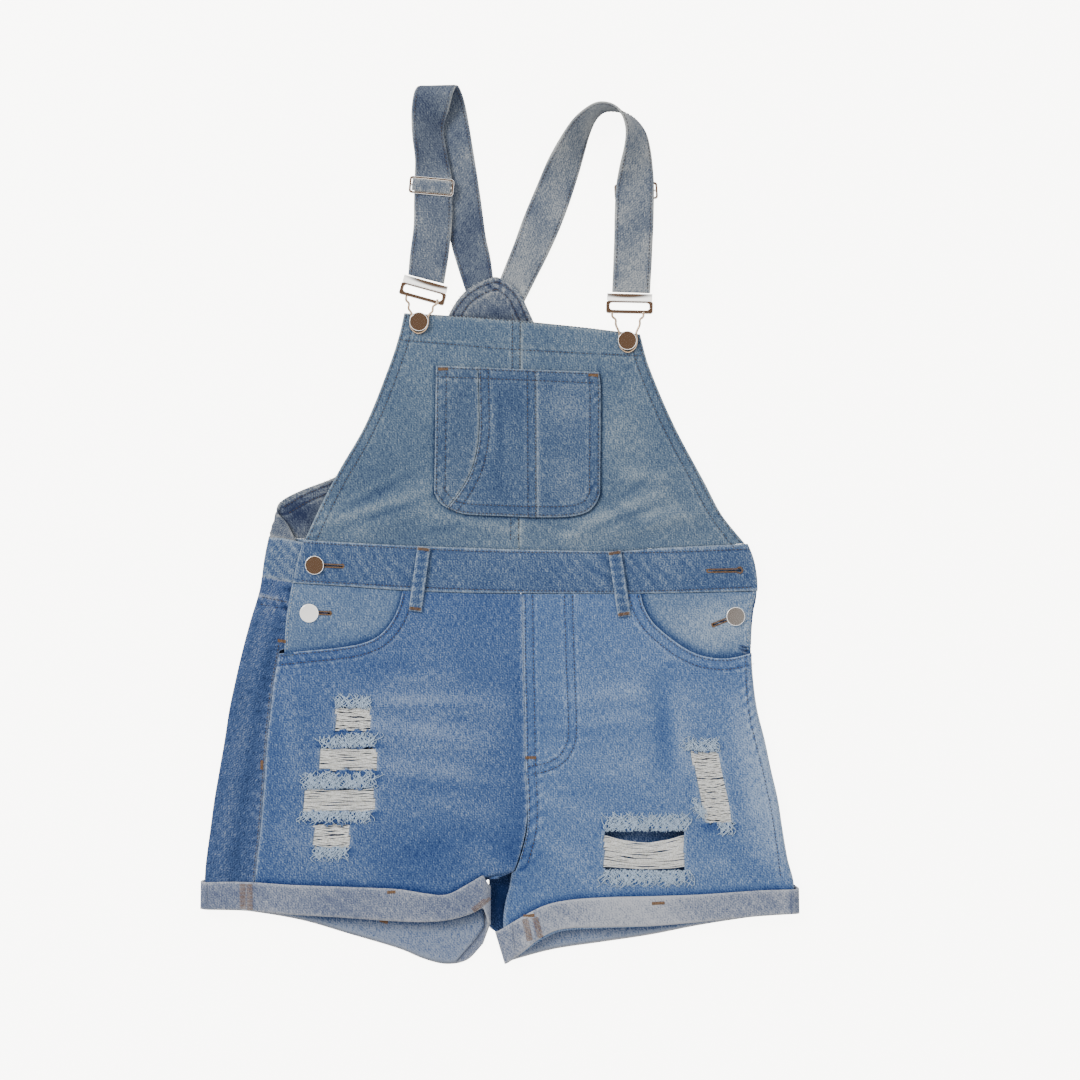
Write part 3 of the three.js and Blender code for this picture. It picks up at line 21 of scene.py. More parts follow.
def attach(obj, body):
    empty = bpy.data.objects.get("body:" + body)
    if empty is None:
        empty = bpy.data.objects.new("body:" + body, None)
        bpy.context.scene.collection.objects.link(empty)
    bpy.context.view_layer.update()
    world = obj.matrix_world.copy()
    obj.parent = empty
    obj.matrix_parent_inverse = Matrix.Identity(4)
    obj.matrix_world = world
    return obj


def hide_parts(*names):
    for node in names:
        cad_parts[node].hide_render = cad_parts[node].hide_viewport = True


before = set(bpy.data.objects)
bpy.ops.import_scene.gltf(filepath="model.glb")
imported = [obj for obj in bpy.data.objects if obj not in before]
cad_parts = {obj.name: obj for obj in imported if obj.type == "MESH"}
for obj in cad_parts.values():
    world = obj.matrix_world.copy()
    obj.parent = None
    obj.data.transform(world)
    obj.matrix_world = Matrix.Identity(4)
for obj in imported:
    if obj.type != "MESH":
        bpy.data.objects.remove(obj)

LOG = logging.getLogger("dungarees")
MM = 0.001

Array = np.ndarray
Profile = Callable[[Array], Array]
Relief = Callable[[Array, Array], Array]
Point = tuple[float, float]
Triple = tuple[float, float, float]
Pair = tuple[Array, Array]
Place = Callable[[Array, Array], Pair]
Rings = tuple[Array, Array, Array]
Socket = bpy.types.NodeSocket
Mesh = bmesh.types.BMesh
Boundary = Callable[[Array], Array]

# Cloth layers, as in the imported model
DENIM = 1.2
BAND = 2.0
STRAP_LAYER = 2.0
CUFF_WALL = 2.4
SEAM_GAP = 0.3
HALF_GAP = SEAM_GAP / 2
FACING_LAYER = DENIM + SEAM_GAP
WAISTBAND_LAYER = BAND + SEAM_GAP
PANEL_LAYER = 2 * (DENIM + SEAM_GAP)
BIB_LAYER = 2.0
HEM_RAISE = 0.8
HEM_DEPTH = 21.0
PANEL_STEP = 30.0
UNDERLAP_LEFT = -150.0
UNDERLAP_RIGHT = 186.0
UNDERLAP_WAIST_LEFT = -140.0
FOLD_LEFT_LOW = -257.5
FOLD_RIGHT_LOW = 257.0
CROTCH_X = 2.0
CROTCH = -301.0
HEM_TUCK = 1.8
BACK_GAP = 0.04
HAIR = 0.04
DYE = 0.8
CUFF_BACK_HEIGHT = 26.0
FOLD_SHARE = 0.84

# Sections across the body: y, left side fold, left side seam, centre seam, right edge
BODY = (
    (8, -197, -166, 19, 205), (-10, -202, -170, 19, 213), (-30, -206, -176, 19.5, 221),
    (-55, -209.5, -181, 20, 224), (-82, -217.5, -186, 20.2, 220), (-108, -224.5, -191.5, 20.5, 219),
    (-134, -230.5, -196.5, 21, 220.5), (-160, -236, -199.5, 21.7, 224),
    (-186, -240, -202.5, 22, 230.5), (-212, -244.5, -204.3, 22.5, 236), (-238, -249, -206, 24, 242),
    (-264, -252.5, -208.3, 23, 246), (-290, -256, -211.3, 16.5, 250.5),
    (-310, -257.3, -213.2, 9.5, 255.5), (-340, FOLD_LEFT_LOW, -215, 9.5, FOLD_RIGHT_LOW),
)
# y, height of layer zero above the ground
RISE = (
    (185, 2.4), (95, 3.0), (30, 4.9), (-20, 6.9), (-60, 7.2), (-110, 7.7), (-220, 8.4), (-310, 8.6),
    (-385, 8.6),
)
# Soft ridges, or troughs with a negative height: x1, y1, x2, y2, height, width
FOLDS = (
    (62, -8, 138, 26, 2.0, 9), (100, -6, 150, 8, 1.5, 7), (112, 44, 142, 42, 1.2, 7),
    (132, 4, 172, 12, 1.4, 7), (-150, 4, -58, 32, 1.6, 9), (-122, -6, -66, 18, 1.2, 8),
    (-108, -152, 4, -158, 1.2, 9), (-104, -178, -16, -192, 1.2, 10),
    (138, -140, 146, -206, -1.3, 11), (-36, -276, 8, -296, 1.4, 9), (34, -266, 92, -318, 1.3, 11),
    (176, -262, 232, -306, -1.1, 12), (-190, -268, -120, -304, 1.1, 12),
    (-228, -130, -243, -296, 1.3, 8),
)
# Creases too fine for the model's own solids
CREASES = (
    (-66, 12, 20, -6, 0.7, 5), (22, 4, 64, -8, 0.6, 5), (148, 22, 168, 2, 0.8, 4),
    (92, 20, 118, 4, -0.7, 5), (-132, 14, -104, 30, -0.6, 5), (-96, -134, -40, -130, 0.5, 6),
    (-92, -206, -30, -214, 0.6, 7), (-60, -238, -10, -250, 0.5, 8), (60, -150, 118, -142, 0.6, 7),
    (46, -196, 120, -208, 0.5, 8), (150, -150, 162, -214, 0.6, 6), (204, -150, 222, -244, 0.7, 8),
    (40, -236, 84, -252, 0.5, 8), (-186, -140, -176, -216, 0.6, 8), (-74, -284, -30, -270, -0.6, 8),
    (140, -306, 196, -292, 0.5, 7), (-60, 96, -30, 150, 0.35, 8), (96, 70, 118, 120, 0.4, 8),
)
# The underside's creases, pressed up into the legs
BACK_CREASES = (
    (-180, -150, -60, -176, 1.1, 12), (-150, -214, -40, -228, 0.9, 11),
    (60, -156, 170, -140, 1.0, 12), (50, -220, 190, -244, 1.1, 13), (-30, -120, -8, -260, 0.8, 9),
    (46, -118, 34, -250, 0.8, 9), (-120, 20, -40, 44, 0.7, 10), (30, 44, 110, 14, 0.7, 10),
    (-90, -266, -60, -320, 0.8, 9), (120, -270, 96, -318, 0.8, 9),
)
# x, front top, front bottom, back bottom
CUFF_LEFT = (
    (-254, -309.3, -333.4, -333.2), (-226, -309, -334, -335), (-174, -311.5, -337.5, -343.5),
    (-130.5, -313, -340, -356), (-87, -315, -343, -369), (-65, -318.5, -343.5, -378),
    (-46, -319.5, -342, -382), (-28, -310.5, -337.5, -378), (-14.5, -302.5, -331, -364),
)
CUFF_RIGHT = (
    (11, -343.5, -374, -378.5), (34, -331, -358, -372), (52, -325.5, -350, -368),
    (87, -322, -348, -363), (130.5, -321, -347, -356.5), (174, -319.5, -343.5, -348),
    (226, -316, -338.5, -340), (254, -315.2, -336.7, -337),
)
# y, left back's inner edge, right back's inner edge
CENTRE_BACK = (
    (-20, 18, 18), (-110, 18, 18), (-210, 18, 18), (-262, 15, 15), (-298, 8, 9), (-303, 1, 8),
    (-308, -10, 7), (-316, -14, 5.4), (-330, -16.5, 4.4), (-343, -18, 5), (-356, -22, 8),
    (-366, -27, 12), (-376, -35, 18),
)
BIB_LEFT = (
    (185.5, -83.5), (166, -88), (140, -96.5), (88, -117.5), (48.5, -140), (19.5, -155),
    (-12, -169.5),
)
BIB_RIGHT = (
    (167, 122), (140, 129.5), (88, 151.5), (36, 179), (9.5, 193), (-15.5, 213),
)
WAIST_TOP = (
    (-170, -12), (-122, -15), (-70, -17.5), (-26, -19), (17, -20.5), (61, -21.5), (100, -22),
    (139, -19), (213, -15.4),
)
WAIST_BOTTOM = (
    (-180, -49.5), (-139, -52), (-84.5, -56), (-35, -58), (20, -58.5), (122, -58.5), (224, -56.5),
)
OPENING_LEFT = (
    (-191.8, -111), (-166, -108.3), (-141, -105.8), (-120, -102), (-105.5, -95.5), (-95, -84.5),
    (-88, -70.5), (-84.5, -57),
)
OPENING_RIGHT = (
    (122, -59.3), (124.5, -69.5), (133, -84), (147.5, -97), (162, -107), (176.5, -113),
    (196.5, -115), (218.5, -110.6),
)
INSEAM_LEFT = ((-301, 9.3), (-304, -3), (-307, -13), (-314, -15), (-330, -15.5))
INSEAM_RIGHT = ((-301, 9.7), (-316, 7), (-330, 3.6), (-345, 2.2), (-356, 3.6), (-376, 12))
# Place across the unrolled back: band's top and bottom, yoke's bottom
BACK_EDGES = (
    (-280, -18, -52, -68), (-242, -15.5, -50, -66.5), (-206, -10, -44.5, -60),
    (-100, -16, -54, -84), (18, -20, -58.5, -106), (120, -20, -58, -88), (222, -16, -57, -72),
    (262, -16, -56, -70),
)
# y, left armhole edge (unrolled), right armhole edge
BACK_BIB = (
    (217, -6.5, -2.5), (212.5, -18, 8), (204, -31, 17), (189.5, -42, 24), (160, -56, 38),
    (135.5, -69.5, 51), (108, -86, 70), (82, -104.5, 89), (62, -123, 110), (43.5, -142.5, 132),
    (30, -173, 150), (20, -190, 162), (8, -198, 178), (-3, -213, 192), (-15, -228, 206),
)


@dataclass(frozen=True)
class Rip:
    """A worn-through window in a front panel, in millimetres."""

    name: str
    left_leg: bool
    x: float
    y: float
    width: float
    height: float
    lean: float
    sag: float

    def outline_edge(self, u: Array, top: bool) -> Array:
        """The window's uneven edge height at a share u of its width."""
        shake = 1.1 * np.sin(self.x + u * 16) + 0.5 * np.sin(self.x * 2 + u * 41)
        return self.y + (0.5 if top else -0.5) * self.height + shake

    def holds(self, x: Array, y: Array) -> Array:
        """Whether places lie in the window."""
        u = (x - self.x - self.lean * (y - self.y)) / self.width + 0.5
        inside = (u > 0) & (u < 1)
        return inside & (y < self.outline_edge(u, True)) & (y > self.outline_edge(u, False))


RIPS = (
    Rip("left_1", True, -127.5, -167.5, 30, 20, 0, 0.6),
    Rip("left_2", True, -131.5, -202.5, 49, 19, 0, 0.8),
    Rip("left_3", True, -139.5, -238, 61, 20, 0, 0.8),
    Rip("left_4", True, -146, -269.5, 31, 20, 0, 0.6),
    Rip("right_1", False, 184, -227, 24, 62, -0.2, 0.6),
    Rip("right_2", False, 125, -282.5, 69, 37, 0, 5),
)


def clamp01(t: Array) -> Array:
    """Limits a share to 0 to 1."""
    return np.clip(t, 0.0, 1.0)


def ease(t: Array) -> Array:
    """A smooth step from 0 to 1."""
    s = clamp01(t)
    return s * s * (3 - 2 * s)


def bell(away: Array, reach: float) -> Array:
    """A soft peak of 1 that falls away with distance."""
    return np.exp(-((away / reach) ** 2))


def lerp(a: Array, b: Array, t: Array) -> Array:
    """A mix of a and b."""
    return a + (b - a) * t


def run_of(line: Array) -> Array:
    """The length run at each place of a line."""
    return np.concatenate([[0.0], np.cumsum(np.linalg.norm(np.diff(line, axis=0), axis=1))])


def follow(line: Array, s: Array) -> Array:
    """Places on a line where its length has run to s."""
    run = run_of(line)
    return np.stack([np.interp(s, run, line[:, k]) for k in range(line.shape[1])], -1)


def value_at(profile: Profile, place: float) -> float:
    """One value of a profile."""
    return float(profile(np.array([place]))[0])


def column(table: Sequence[Sequence[float]], value: int) -> Profile:
    """A smooth curve through one column of a table.

    Args:
        table: Rows whose first number is the place.
        value: Which number of each row to follow.

    Returns:
        The curve, carried straight on past the table's ends.
    """
    rows = sorted(table, key=lambda row: row[0])
    at = np.array([row[0] for row in rows], float)
    level = np.array([row[value] for row in rows], float)
    before = np.maximum(np.arange(len(at)) - 1, 0)
    after = np.minimum(np.arange(len(at)) + 1, len(at) - 1)
    slope = (level[after] - level[before]) / (at[after] - at[before])

    def read(t: Array) -> Array:
        """The curve's value at t."""
        t = np.asarray(t, float)
        i = np.clip(np.searchsorted(at, t) - 1, 0, len(at) - 2)
        step, change = at[i + 1] - at[i], level[i + 1] - level[i]
        u = clamp01((t - at[i]) / step)
        bend = (1 - u) * (slope[i] * step - change) + u * (change - slope[i + 1] * step)
        inside = level[i] + change * u + u * (1 - u) * bend
        low = slope[0] * np.minimum(t - at[0], 0)
        high = slope[-1] * np.maximum(t - at[-1], 0)
        return inside + low + high

    return read


fold_left, seam_left, centre_front, edge_right = (column(BODY, k) for k in (1, 2, 3, 4))
band_top, band_bottom, yoke_bottom = (column(BACK_EDGES, k) for k in (1, 2, 3))
rise_at = column(RISE, 1)
bib_left_edge, bib_right_edge = column(BIB_LEFT, 1), column(BIB_RIGHT, 1)
waist_top, waist_bottom = column(WAIST_TOP, 1), column(WAIST_BOTTOM, 1)
inseam_left, inseam_right = column(INSEAM_LEFT, 1), column(INSEAM_RIGHT, 1)


def ridges(table: Sequence[Sequence[float]], x: Array, y: Array) -> Array:
    """The summed height of soft ridges at places.

    Args:
        table: Rows of x1, y1, x2, y2, height and width.
        x: Places across.
        y: Places up the garment.

    Returns:
        The height in millimetres.
    """
    total = np.zeros(np.broadcast(x, y).shape)
    for x1, y1, x2, y2, height, width in table:
        dx, dy = x2 - x1, y2 - y1
        share = clamp01(((x - x1) * dx + (y - y1) * dy) / (dx * dx + dy * dy))
        away = np.hypot(x - x1 - share * dx, y - y1 - share * dy)
        total = total + height * bell(away, width)
    return total


def layer_zero(x: Array, y: Array) -> Array:
    """Height of the back's turned-up layer, on which every front layer stands."""
    return rise_at(y) + ridges(FOLDS, x, y) + ridges(CREASES, x, y)


def ground_at(x: Array, y: Array) -> Array:
    """Height of the back, which lies on the ground and on the cuffs inside them."""
    height = np.zeros(np.broadcast(x, y).shape)
    for table, here in ((CUFF_LEFT, x < CROTCH_X), (CUFF_RIGHT, x >= CROTCH_X)):
        place = np.clip(x, table[0][0], table[-1][0])
        top = column(table, 3)(place) + CUFF_BACK_HEIGHT
        lift = (CUFF_WALL + 1.5 * SEAM_GAP) * ease((top + 22 - y) / 16)
        height = np.where(here, lift, height)
    return height


def panel_top(x: Array, y: Array) -> Array:
    """Outer side of the front panels, rounded off at the right edge."""
    top = layer_zero(x, y) + PANEL_LAYER * ease((x - seam_left(y)) / PANEL_STEP)
    ground = ground_at(x, y)
    middle, radius = (top + ground) / 2, (top - ground) / 2
    lean = clamp01((radius - (edge_right(y) - x)) / radius)
    return middle + SEAM_GAP + (top - middle - SEAM_GAP) * np.sqrt(1 - lean * lean)


def inseam_drop(x: Array, y: Array, seam_x: Array) -> Array:
    """Outer side of a front panel, which comes down to the back along the inner leg."""
    near = 1 - ease(np.abs(x - seam_x) / 9)
    low = ground_at(x, y) + 2 * (DENIM + SEAM_GAP)
    return lerp(panel_top(x, y), low, near * ease((-296 - y) / 16))


def bib_top(x: Array, y: Array) -> Array:
    """Outer side of the bib, which droops a little at its free edges."""
    near_left = 1 - ease((x - bib_left_edge(y)) / 18)
    near_right = 1 - ease((bib_right_edge(y) - x) / 18)
    droop = 1.2 * np.maximum(near_left, near_right) * ease((y - 40) / 50)
    return layer_zero(x, y) + BIB_LAYER - droop


def smooth_route(*stretches: Sequence[Sequence[float]]) -> Boundary:
    """A boundary of smooth stretches that meet at corners.

    Args:
        stretches: Points of each stretch.

    Returns:
        A function from a share of the length to places.
    """
    places: list[Array] = []
    for stretch in stretches:
        points = np.array(stretch, float)
        run = run_of(points)
        t = np.linspace(0, run[-1], 12 * len(points))
        places.append(np.stack([column(list(zip(run, points[:, k])), 1)(t) for k in (0, 1)], 1))
    line = np.concatenate(places)
    length = run_of(line)[-1]
    return lambda t: follow(line, clamp01(t) * length)


def down(edge: Profile, start: float, end: float, shift: float = 0.0) -> Boundary:
    """A boundary that follows a function of y."""
    return lambda t: np.stack([edge(lerp(start, end, t)) + shift, lerp(start, end, t)], -1)


def across(edge: Profile, start: float, end: float, shift: float = 0.0) -> Boundary:
    """A boundary that follows a function of x."""
    return lambda t: np.stack([lerp(start, end, t), edge(lerp(start, end, t)) + shift], -1)


@dataclass(frozen=True)
class Outline:
    """Four boundaries of a cloth piece in plan; the sides run down."""

    top: Boundary
    bottom: Boundary
    left: Boundary
    right: Boundary

    def fill(self, u: Array, v: Array) -> Pair:
        """Plan places at shares across and down the piece.

        Args:
            u: Shares across.
            v: Shares down.

        Returns:
            x and y.
        """
        a, b = u[:, None], v[:, None]
        corners = [side(np.array([t]))[0] for side in (self.top, self.bottom) for t in (0.0, 1.0)]
        p = self.top(u) * (1 - b) + self.bottom(u) * b + self.left(v) * (1 - a) + self.right(v) * a
        p = p - corners[0] * (1 - a) * (1 - b) - corners[1] * a * (1 - b)
        p = p - corners[2] * (1 - a) * b - corners[3] * a * b
        return p[:, 0], p[:, 1]


@dataclass(frozen=True)
class Seam:
    """A sewn line: raised turnings, puckers beside it and rows of stitches."""

    points: tuple[Point, ...]
    rows: tuple[float, ...] = (0.0,)
    lift: float = 0.35
    width: float = 4.0
    pucker: float = 0.22
    pitch: float = 8.5
    slant: float = 0.6
    shading_and_fading: float = 0.4

    def line(self) -> Array:
        """The seam as closely spaced places."""
        length = run_of(np.array(self.points, float))[-1]
        return smooth_route(self.points)(np.linspace(0, 1, max(3, int(length / 5))))

    def beside(self, x: Array, y: Array) -> Pair:
        """The signed distance from the seam, left of its run positive, and the place along it."""
        line = self.line()
        best = np.full(np.shape(x), 1e9)
        signed, along = np.zeros(np.shape(x)), np.zeros(np.shape(x))
        run = 0.0
        for (ax, ay), (bx, by) in zip(line[:-1], line[1:]):
            dx, dy = bx - ax, by - ay
            size = math.hypot(dx, dy)
            share = clamp01(((x - ax) * dx + (y - ay) * dy) / (size * size))
            away = np.hypot(x - ax - share * dx, y - ay - share * dy)
            near = away < best
            side = np.sign(dx * (y - ay) - dy * (x - ax))
            best = np.where(near, away, best)
            signed = np.where(near, away * side, signed)
            along = np.where(near, run + share * size, along)
            run += size
        return signed, along

    def middle(self) -> float:
        """The middle of the sewn band, measured from the seam's line."""
        return (min(self.rows) + max(self.rows)) / 2

    def relief(self, x: Array, y: Array) -> Pair:
        """Height and tone that the seam gives to the cloth: worn paling and painted highlights on its ridges
        and puckers, painted shade in its stitch grooves.

        Args:
            x: Places across.
            y: Places up the garment.

        Returns:
            Height in millimetres, and tone from -1 (dark) to 1 (pale).
        """
        signed, along = self.beside(x, y)
        off = signed - self.middle()
        half = (max(self.rows) - min(self.rows)) / 2 + self.width / 2
        band = 1 - ease((np.abs(off) - half + 1.2) / 2.4)
        phase = (along + self.slant * off) / self.pitch * 2 * math.pi
        drift = 1.9 * np.sin(along / 23 + self.points[0][0]) + 1.4 * np.sin(along / 9.1)
        drift = drift + 0.7 * np.sin(off / 3.3)
        uneven = np.sin(phase + drift) * (0.55 + 0.45 * np.sin(along / 37 + self.points[0][1]))
        reach = bell(np.abs(off), half + 3.5)
        groove = sum(bell(signed - row, 1.0) for row in self.rows)
        height = self.lift * band + self.pucker * uneven * reach - 0.16 * groove
        rim = bell(np.abs(off) - half, 1.3)
        # Painted shade in the stitch grooves; the paler rims and pucker crests are partly worn roping and
        # partly painted highlight.
        tone = self.shading_and_fading * (0.4 * uneven * reach + 0.75 * rim * (0.7 + 0.3 * uneven) - 0.9 * groove)
        return height, tone


class Thread(Enum):
    """Sewing threads."""

    BROWN = "thread_brown"
    PALE = "thread_pale"
    RUST = "thread_rust"


@dataclass(frozen=True)
class Denim:
    """A faded twill: its tones in linear colour and how uneven it is."""

    name: str
    dark: Triple
    body: Triple
    pale: Triple
    cloud: float = 0.35
    grain: float = 1.12

    def material(self) -> bpy.types.Material:
        """Builds the finish once.

        Returns:
            The material.
        """
        found = bpy.data.materials.get(self.name)
        if found:
            return found
        graph = Graph(self.name)
        uv = graph.node("ShaderNodeUVMap", uv_map="cloth").outputs[0]
        # The per-vertex tone read here carries worn fading together with painted highlights and painted shade.
        worn_and_shaded_tone = graph.node("ShaderNodeAttribute", attribute_name="worn_and_shaded_tone").outputs["Fac"]
        slub = graph.noise(uv, 1.0, 3, (1250, 170, 1))
        cross = graph.noise(uv, 1.0, 2, (260, 1050, 1))
        speck, cloud, patch = (graph.noise(uv, scale, detail) for scale, detail in ((980, 2), (19, 4), (95, 3)))
        twill = graph.node("ShaderNodeTexWave", bands_direction="DIAGONAL")
        graph.link(uv, twill.inputs["Vector"])
        constants(twill, {"Scale": 210.0, "Distortion": 1.2, "Detail": 1.0})
        tone = graph.total(
            (worn_and_shaded_tone, 0.5, 0.0), (slub, 1.05 * self.grain, 0.5), (cross, 0.55 * self.grain, 0.5),
            (speck, 0.95 * self.grain, 0.5), (cloud, self.cloud, 0.5), (patch, 0.35 * self.cloud, 0.5),
            (twill.outputs["Fac"], 0.11 * self.grain, 0.5),
        )
        dark, body, pale = (tuple(c * DYE for c in dye) for dye in (self.dark, self.body, self.pale))
        graph.tint(graph.math("ADD", tone, 0.5), (0.0, dark), (1.0, pale), (0.5, body))
        height = graph.total((twill.outputs["Fac"], 0.4, 0.0), (slub, 0.9, 0.0), (speck, 0.8, 0.0))
        graph.bump(height, 0.7, 0.0003)
        constants(graph.shader, {"Roughness": 0.9, "Sheen Weight": 0.12, "Sheen Roughness": 0.5,
                                 "Specular IOR Level": 0.05})
        return graph.material


def constants(node: bpy.types.ShaderNode, values: dict[str, object]) -> None:
    """Sets a node's inputs."""
    for key, value in values.items():
        node.inputs[key].default_value = value


def set_stops(ramp: bpy.types.ShaderNode, *stops: tuple[float, Triple]) -> None:
    """Sets a ramp's two ends, and then its stops between them."""
    ends = ramp.color_ramp.elements
    for k, (place, color) in enumerate(stops):
        stop = ends[k] if k < 2 else ends.new(place)
        stop.position, stop.color = place, (*color, 1)


class Graph:
    """A material's nodes, with the few kinds that these finishes need."""

    def __init__(self, name: str) -> None:
        """Starts a material with an empty principled shader."""
        self.material = bpy.data.materials.new(name)
        self.material.use_nodes = True
        self.tree = self.material.node_tree
        self.shader = self.tree.nodes["Principled BSDF"]

    def node(self, kind: str, **settings: object) -> bpy.types.ShaderNode:
        """Adds a node with settings."""
        made = self.tree.nodes.new(kind)
        for key, value in settings.items():
            setattr(made, key, value)
        return made

    def link(self, out: Socket, into: Socket) -> None:
        """Joins two sockets."""
        self.tree.links.new(out, into)

    def noise(self, vector: Socket, scale: float, detail: float, stretch: Triple = (1, 1, 1)) -> Socket:
        """A soft noise about 0.5, on a vector stretched axis by axis."""
        mapping, made = self.node("ShaderNodeMapping"), self.node("ShaderNodeTexNoise")
        constants(mapping, {"Scale": stretch})
        constants(made, {"Scale": scale, "Detail": detail})
        self.link(vector, mapping.inputs["Vector"])
        self.link(mapping.outputs[0], made.inputs["Vector"])
        return made.outputs["Fac"]

    def tint(self, fac: Socket, *stops: tuple[float, Triple]) -> None:
        """Colours the shader through a ramp."""
        ramp = self.node("ShaderNodeValToRGB")
        self.link(fac, ramp.inputs["Fac"])
        set_stops(ramp, *stops)
        self.link(ramp.outputs["Color"], self.shader.inputs["Base Color"])

    def math(self, kind: str, a: Socket, b: float | Socket) -> Socket:
        """One sum or product."""
        made = self.node("ShaderNodeMath", operation=kind)
        self.link(a, made.inputs[0])
        if isinstance(b, float):
            made.inputs[1].default_value = b
        else:
            self.link(b, made.inputs[1])
        return made.outputs[0]

    def total(self, *terms: tuple[Socket, float, float]) -> Socket:
        """The sum of (value - middle) * weight.

        Args:
            terms: Each value with its weight and its middle.

        Returns:
            The sum's socket.
        """
        running = None
        for value, weight, middle in terms:
            made = self.node("ShaderNodeMath", operation="MULTIPLY_ADD")
            self.link(value, made.inputs[0])
            made.inputs[1].default_value = weight
            made.inputs[2].default_value = -middle * weight
            running = made.outputs[0] if running is None else self.math("ADD", running, made.outputs[0])
        return running

    def bump(self, height: Socket, strength: float, distance: float) -> None:
        """Fine relief from a height."""
        made = self.node("ShaderNodeBump")
        constants(made, {"Strength": strength, "Distance": distance})
        self.link(height, made.inputs["Height"])
        self.link(made.outputs[0], self.shader.inputs["Normal"])


def srgb(red: int, green: int, blue: int) -> Triple:
    """A display colour as linear light."""
    return tuple(((c / 255 + 0.055) / 1.055) ** 2.4 if c > 10 else c / 255 / 12.92 for c in (red, green, blue))


def around(body: tuple[int, int, int], down: int, up: int) -> tuple[Triple, ...]:
    """Dark, middle and pale tones about a display colour; worn cloth bleaches the red most."""
    red, green, blue = body
    dark = srgb(max(red - down, 11), max(green - down, 14), max(blue - int(down * 0.8), 24))
    pale = srgb(min(red + up + 12, 244), min(green + up + 4, 244), min(blue + int(up * 0.82), 242))
    return dark, srgb(*body), pale


BIB_DENIM = Denim("bib_twill", *around((103, 125, 150), 58, 70))
POCKET_DENIM = Denim("pocket_twill", *around((86, 109, 142), 56, 72))
DEEP_DENIM = Denim("deep_twill", *around((90, 112, 142), 56, 72))
WAIST_DENIM = Denim("waist_twill", *around((84, 109, 148), 56, 84))
LEG_DENIM_LEFT = Denim("left_leg_twill", *around((83, 111, 160), 54, 80), cloud=0.22)
LEG_DENIM_RIGHT = Denim("right_leg_twill", *around((100, 130, 178), 58, 78), cloud=0.22)
BACK_DENIM = Denim("back_twill", srgb(22, 42, 84), srgb(78, 103, 150), srgb(170, 182, 204), cloud=0.26)
FACING_DENIM = Denim("facing_twill", *around((110, 136, 172), 58, 72))
STRAP_DENIM = Denim("strap_twill", *around((120, 131, 147), 60, 72), cloud=0.16)
INSIDE_DENIM = Denim("inside_twill", *around((108, 119, 137), 62, 72), cloud=0.3)
CUFF_DENIM = Denim("cuff_twill", *around((129, 140, 166), 62, 74), cloud=0.2)


@dataclass(frozen=True)
class Fade:
    """A soft paler or darker patch, in millimetres: fading and deeper dye, and also painted highlights, painted
    shade and painted shadows.
    """

    x: float
    y: float
    reach_x: float
    reach_y: float
    amount: float
    turn: float = 0.0

    def tone(self, x: Array, y: Array) -> Array:
        """The fading at places."""
        c, s = math.cos(self.turn), math.sin(self.turn)
        dx, dy = x - self.x, y - self.y
        along, aside = c * dx + s * dy, c * dy - s * dx
        return self.amount * np.exp(-((along / self.reach_x) ** 2) - (aside / self.reach_y) ** 2)


# Broad pale patches are fading. The thin light and dark pairs are painted highlight and shade on the two sides
# of folds and creases, and the dark patch at the crotch is painted shade; the other dark bands darken the
# cloth.
LEG_FADING_AND_SHADING = (
    Fade(-66, -170, 60, 74, 0.34), Fade(128, -150, 58, 66, 0.3), Fade(-60, -150, 62, 4, 0.3, 0.03),
    Fade(-62, -158, 56, 4, -0.28, 0.02), Fade(-66, -176, 52, 5, 0.28, -0.1),
    Fade(-62, -186, 56, 4, -0.22, -0.12), Fade(-58, -214, 50, 6, 0.2, -0.08),
    Fade(-56, -226, 46, 5, -0.2, -0.12), Fade(142, -172, 8, 36, -0.34, -0.06),
    Fade(158, -180, 7, 44, 0.22, -0.05), Fade(96, -168, 40, 5, 0.22, 0.06),
    Fade(92, -178, 44, 5, -0.16, 0.06), Fade(84, -214, 44, 6, 0.16, -0.1),
    Fade(240, -200, 26, 100, 1.3), Fade(20, -200, 12, 96, -0.34), Fade(-202, -210, 10, 90, -0.2),
    Fade(-132, -220, 52, 66, 0.2), Fade(150, -260, 66, 56, 0.2), Fade(12, -288, 24, 22, -0.5),
    Fade(-50, -286, 56, 26, -0.36), Fade(-12, -306, 18, 16, 0.5),
    Fade(-110, -122, 80, 10, -0.2, -0.05), Fade(160, -126, 70, 9, -0.2),
)
# The thin light and dark lines are painted highlight and shade along the bib's folds and creases; the broad
# patches pale or darken the cloth.
BIB_FADING_AND_SHADING = (
    Fade(110, 60, 20, 46, 0.22, 0.4), Fade(120, 130, 10, 20, 0.2), Fade(-96, 60, 18, 60, -0.12),
    Fade(96, 12, 40, 3, 0.4, 0.42), Fade(102, 5, 38, 3, -0.6, 0.42),
    Fade(-100, 20, 42, 3, 0.34, 0.3), Fade(-95, 13, 40, 3, -0.6, 0.32),
    Fade(-112, 34, 34, 2.4, 0.3, 0.5), Fade(-108, 28, 34, 2.4, -0.5, 0.5),
    Fade(130, 10, 30, 2.6, 0.36, 0.3), Fade(132, 4, 30, 2.6, -0.5, 0.3),
    Fade(40, 2, 30, 2.4, -0.4, -0.2), Fade(118, 34, 22, 2.4, -0.5, 0.7),
    Fade(-40, 0, 36, 2.6, -0.36, 0.24), Fade(-100, 24, 44, 44, -0.3),
    Fade(60, -2, 50, 4, -0.24, 0.1), Fade(16, 0, 60, 5, 0.1), Fade(126, 44, 18, 4, 0.24),
    Fade(128, 37, 18, 3, -0.22),
)


@dataclass(frozen=True)
class Shade:
    """Painted shadow in the corner beside a raised edge."""

    points: tuple[Point, ...]
    reach: float
    amount: float

    def tone(self, x: Array, y: Array) -> Array:
        """The darkening at places."""
        away = Seam(self.points).beside(x, y)[0]
        return self.amount * bell(away, self.reach)


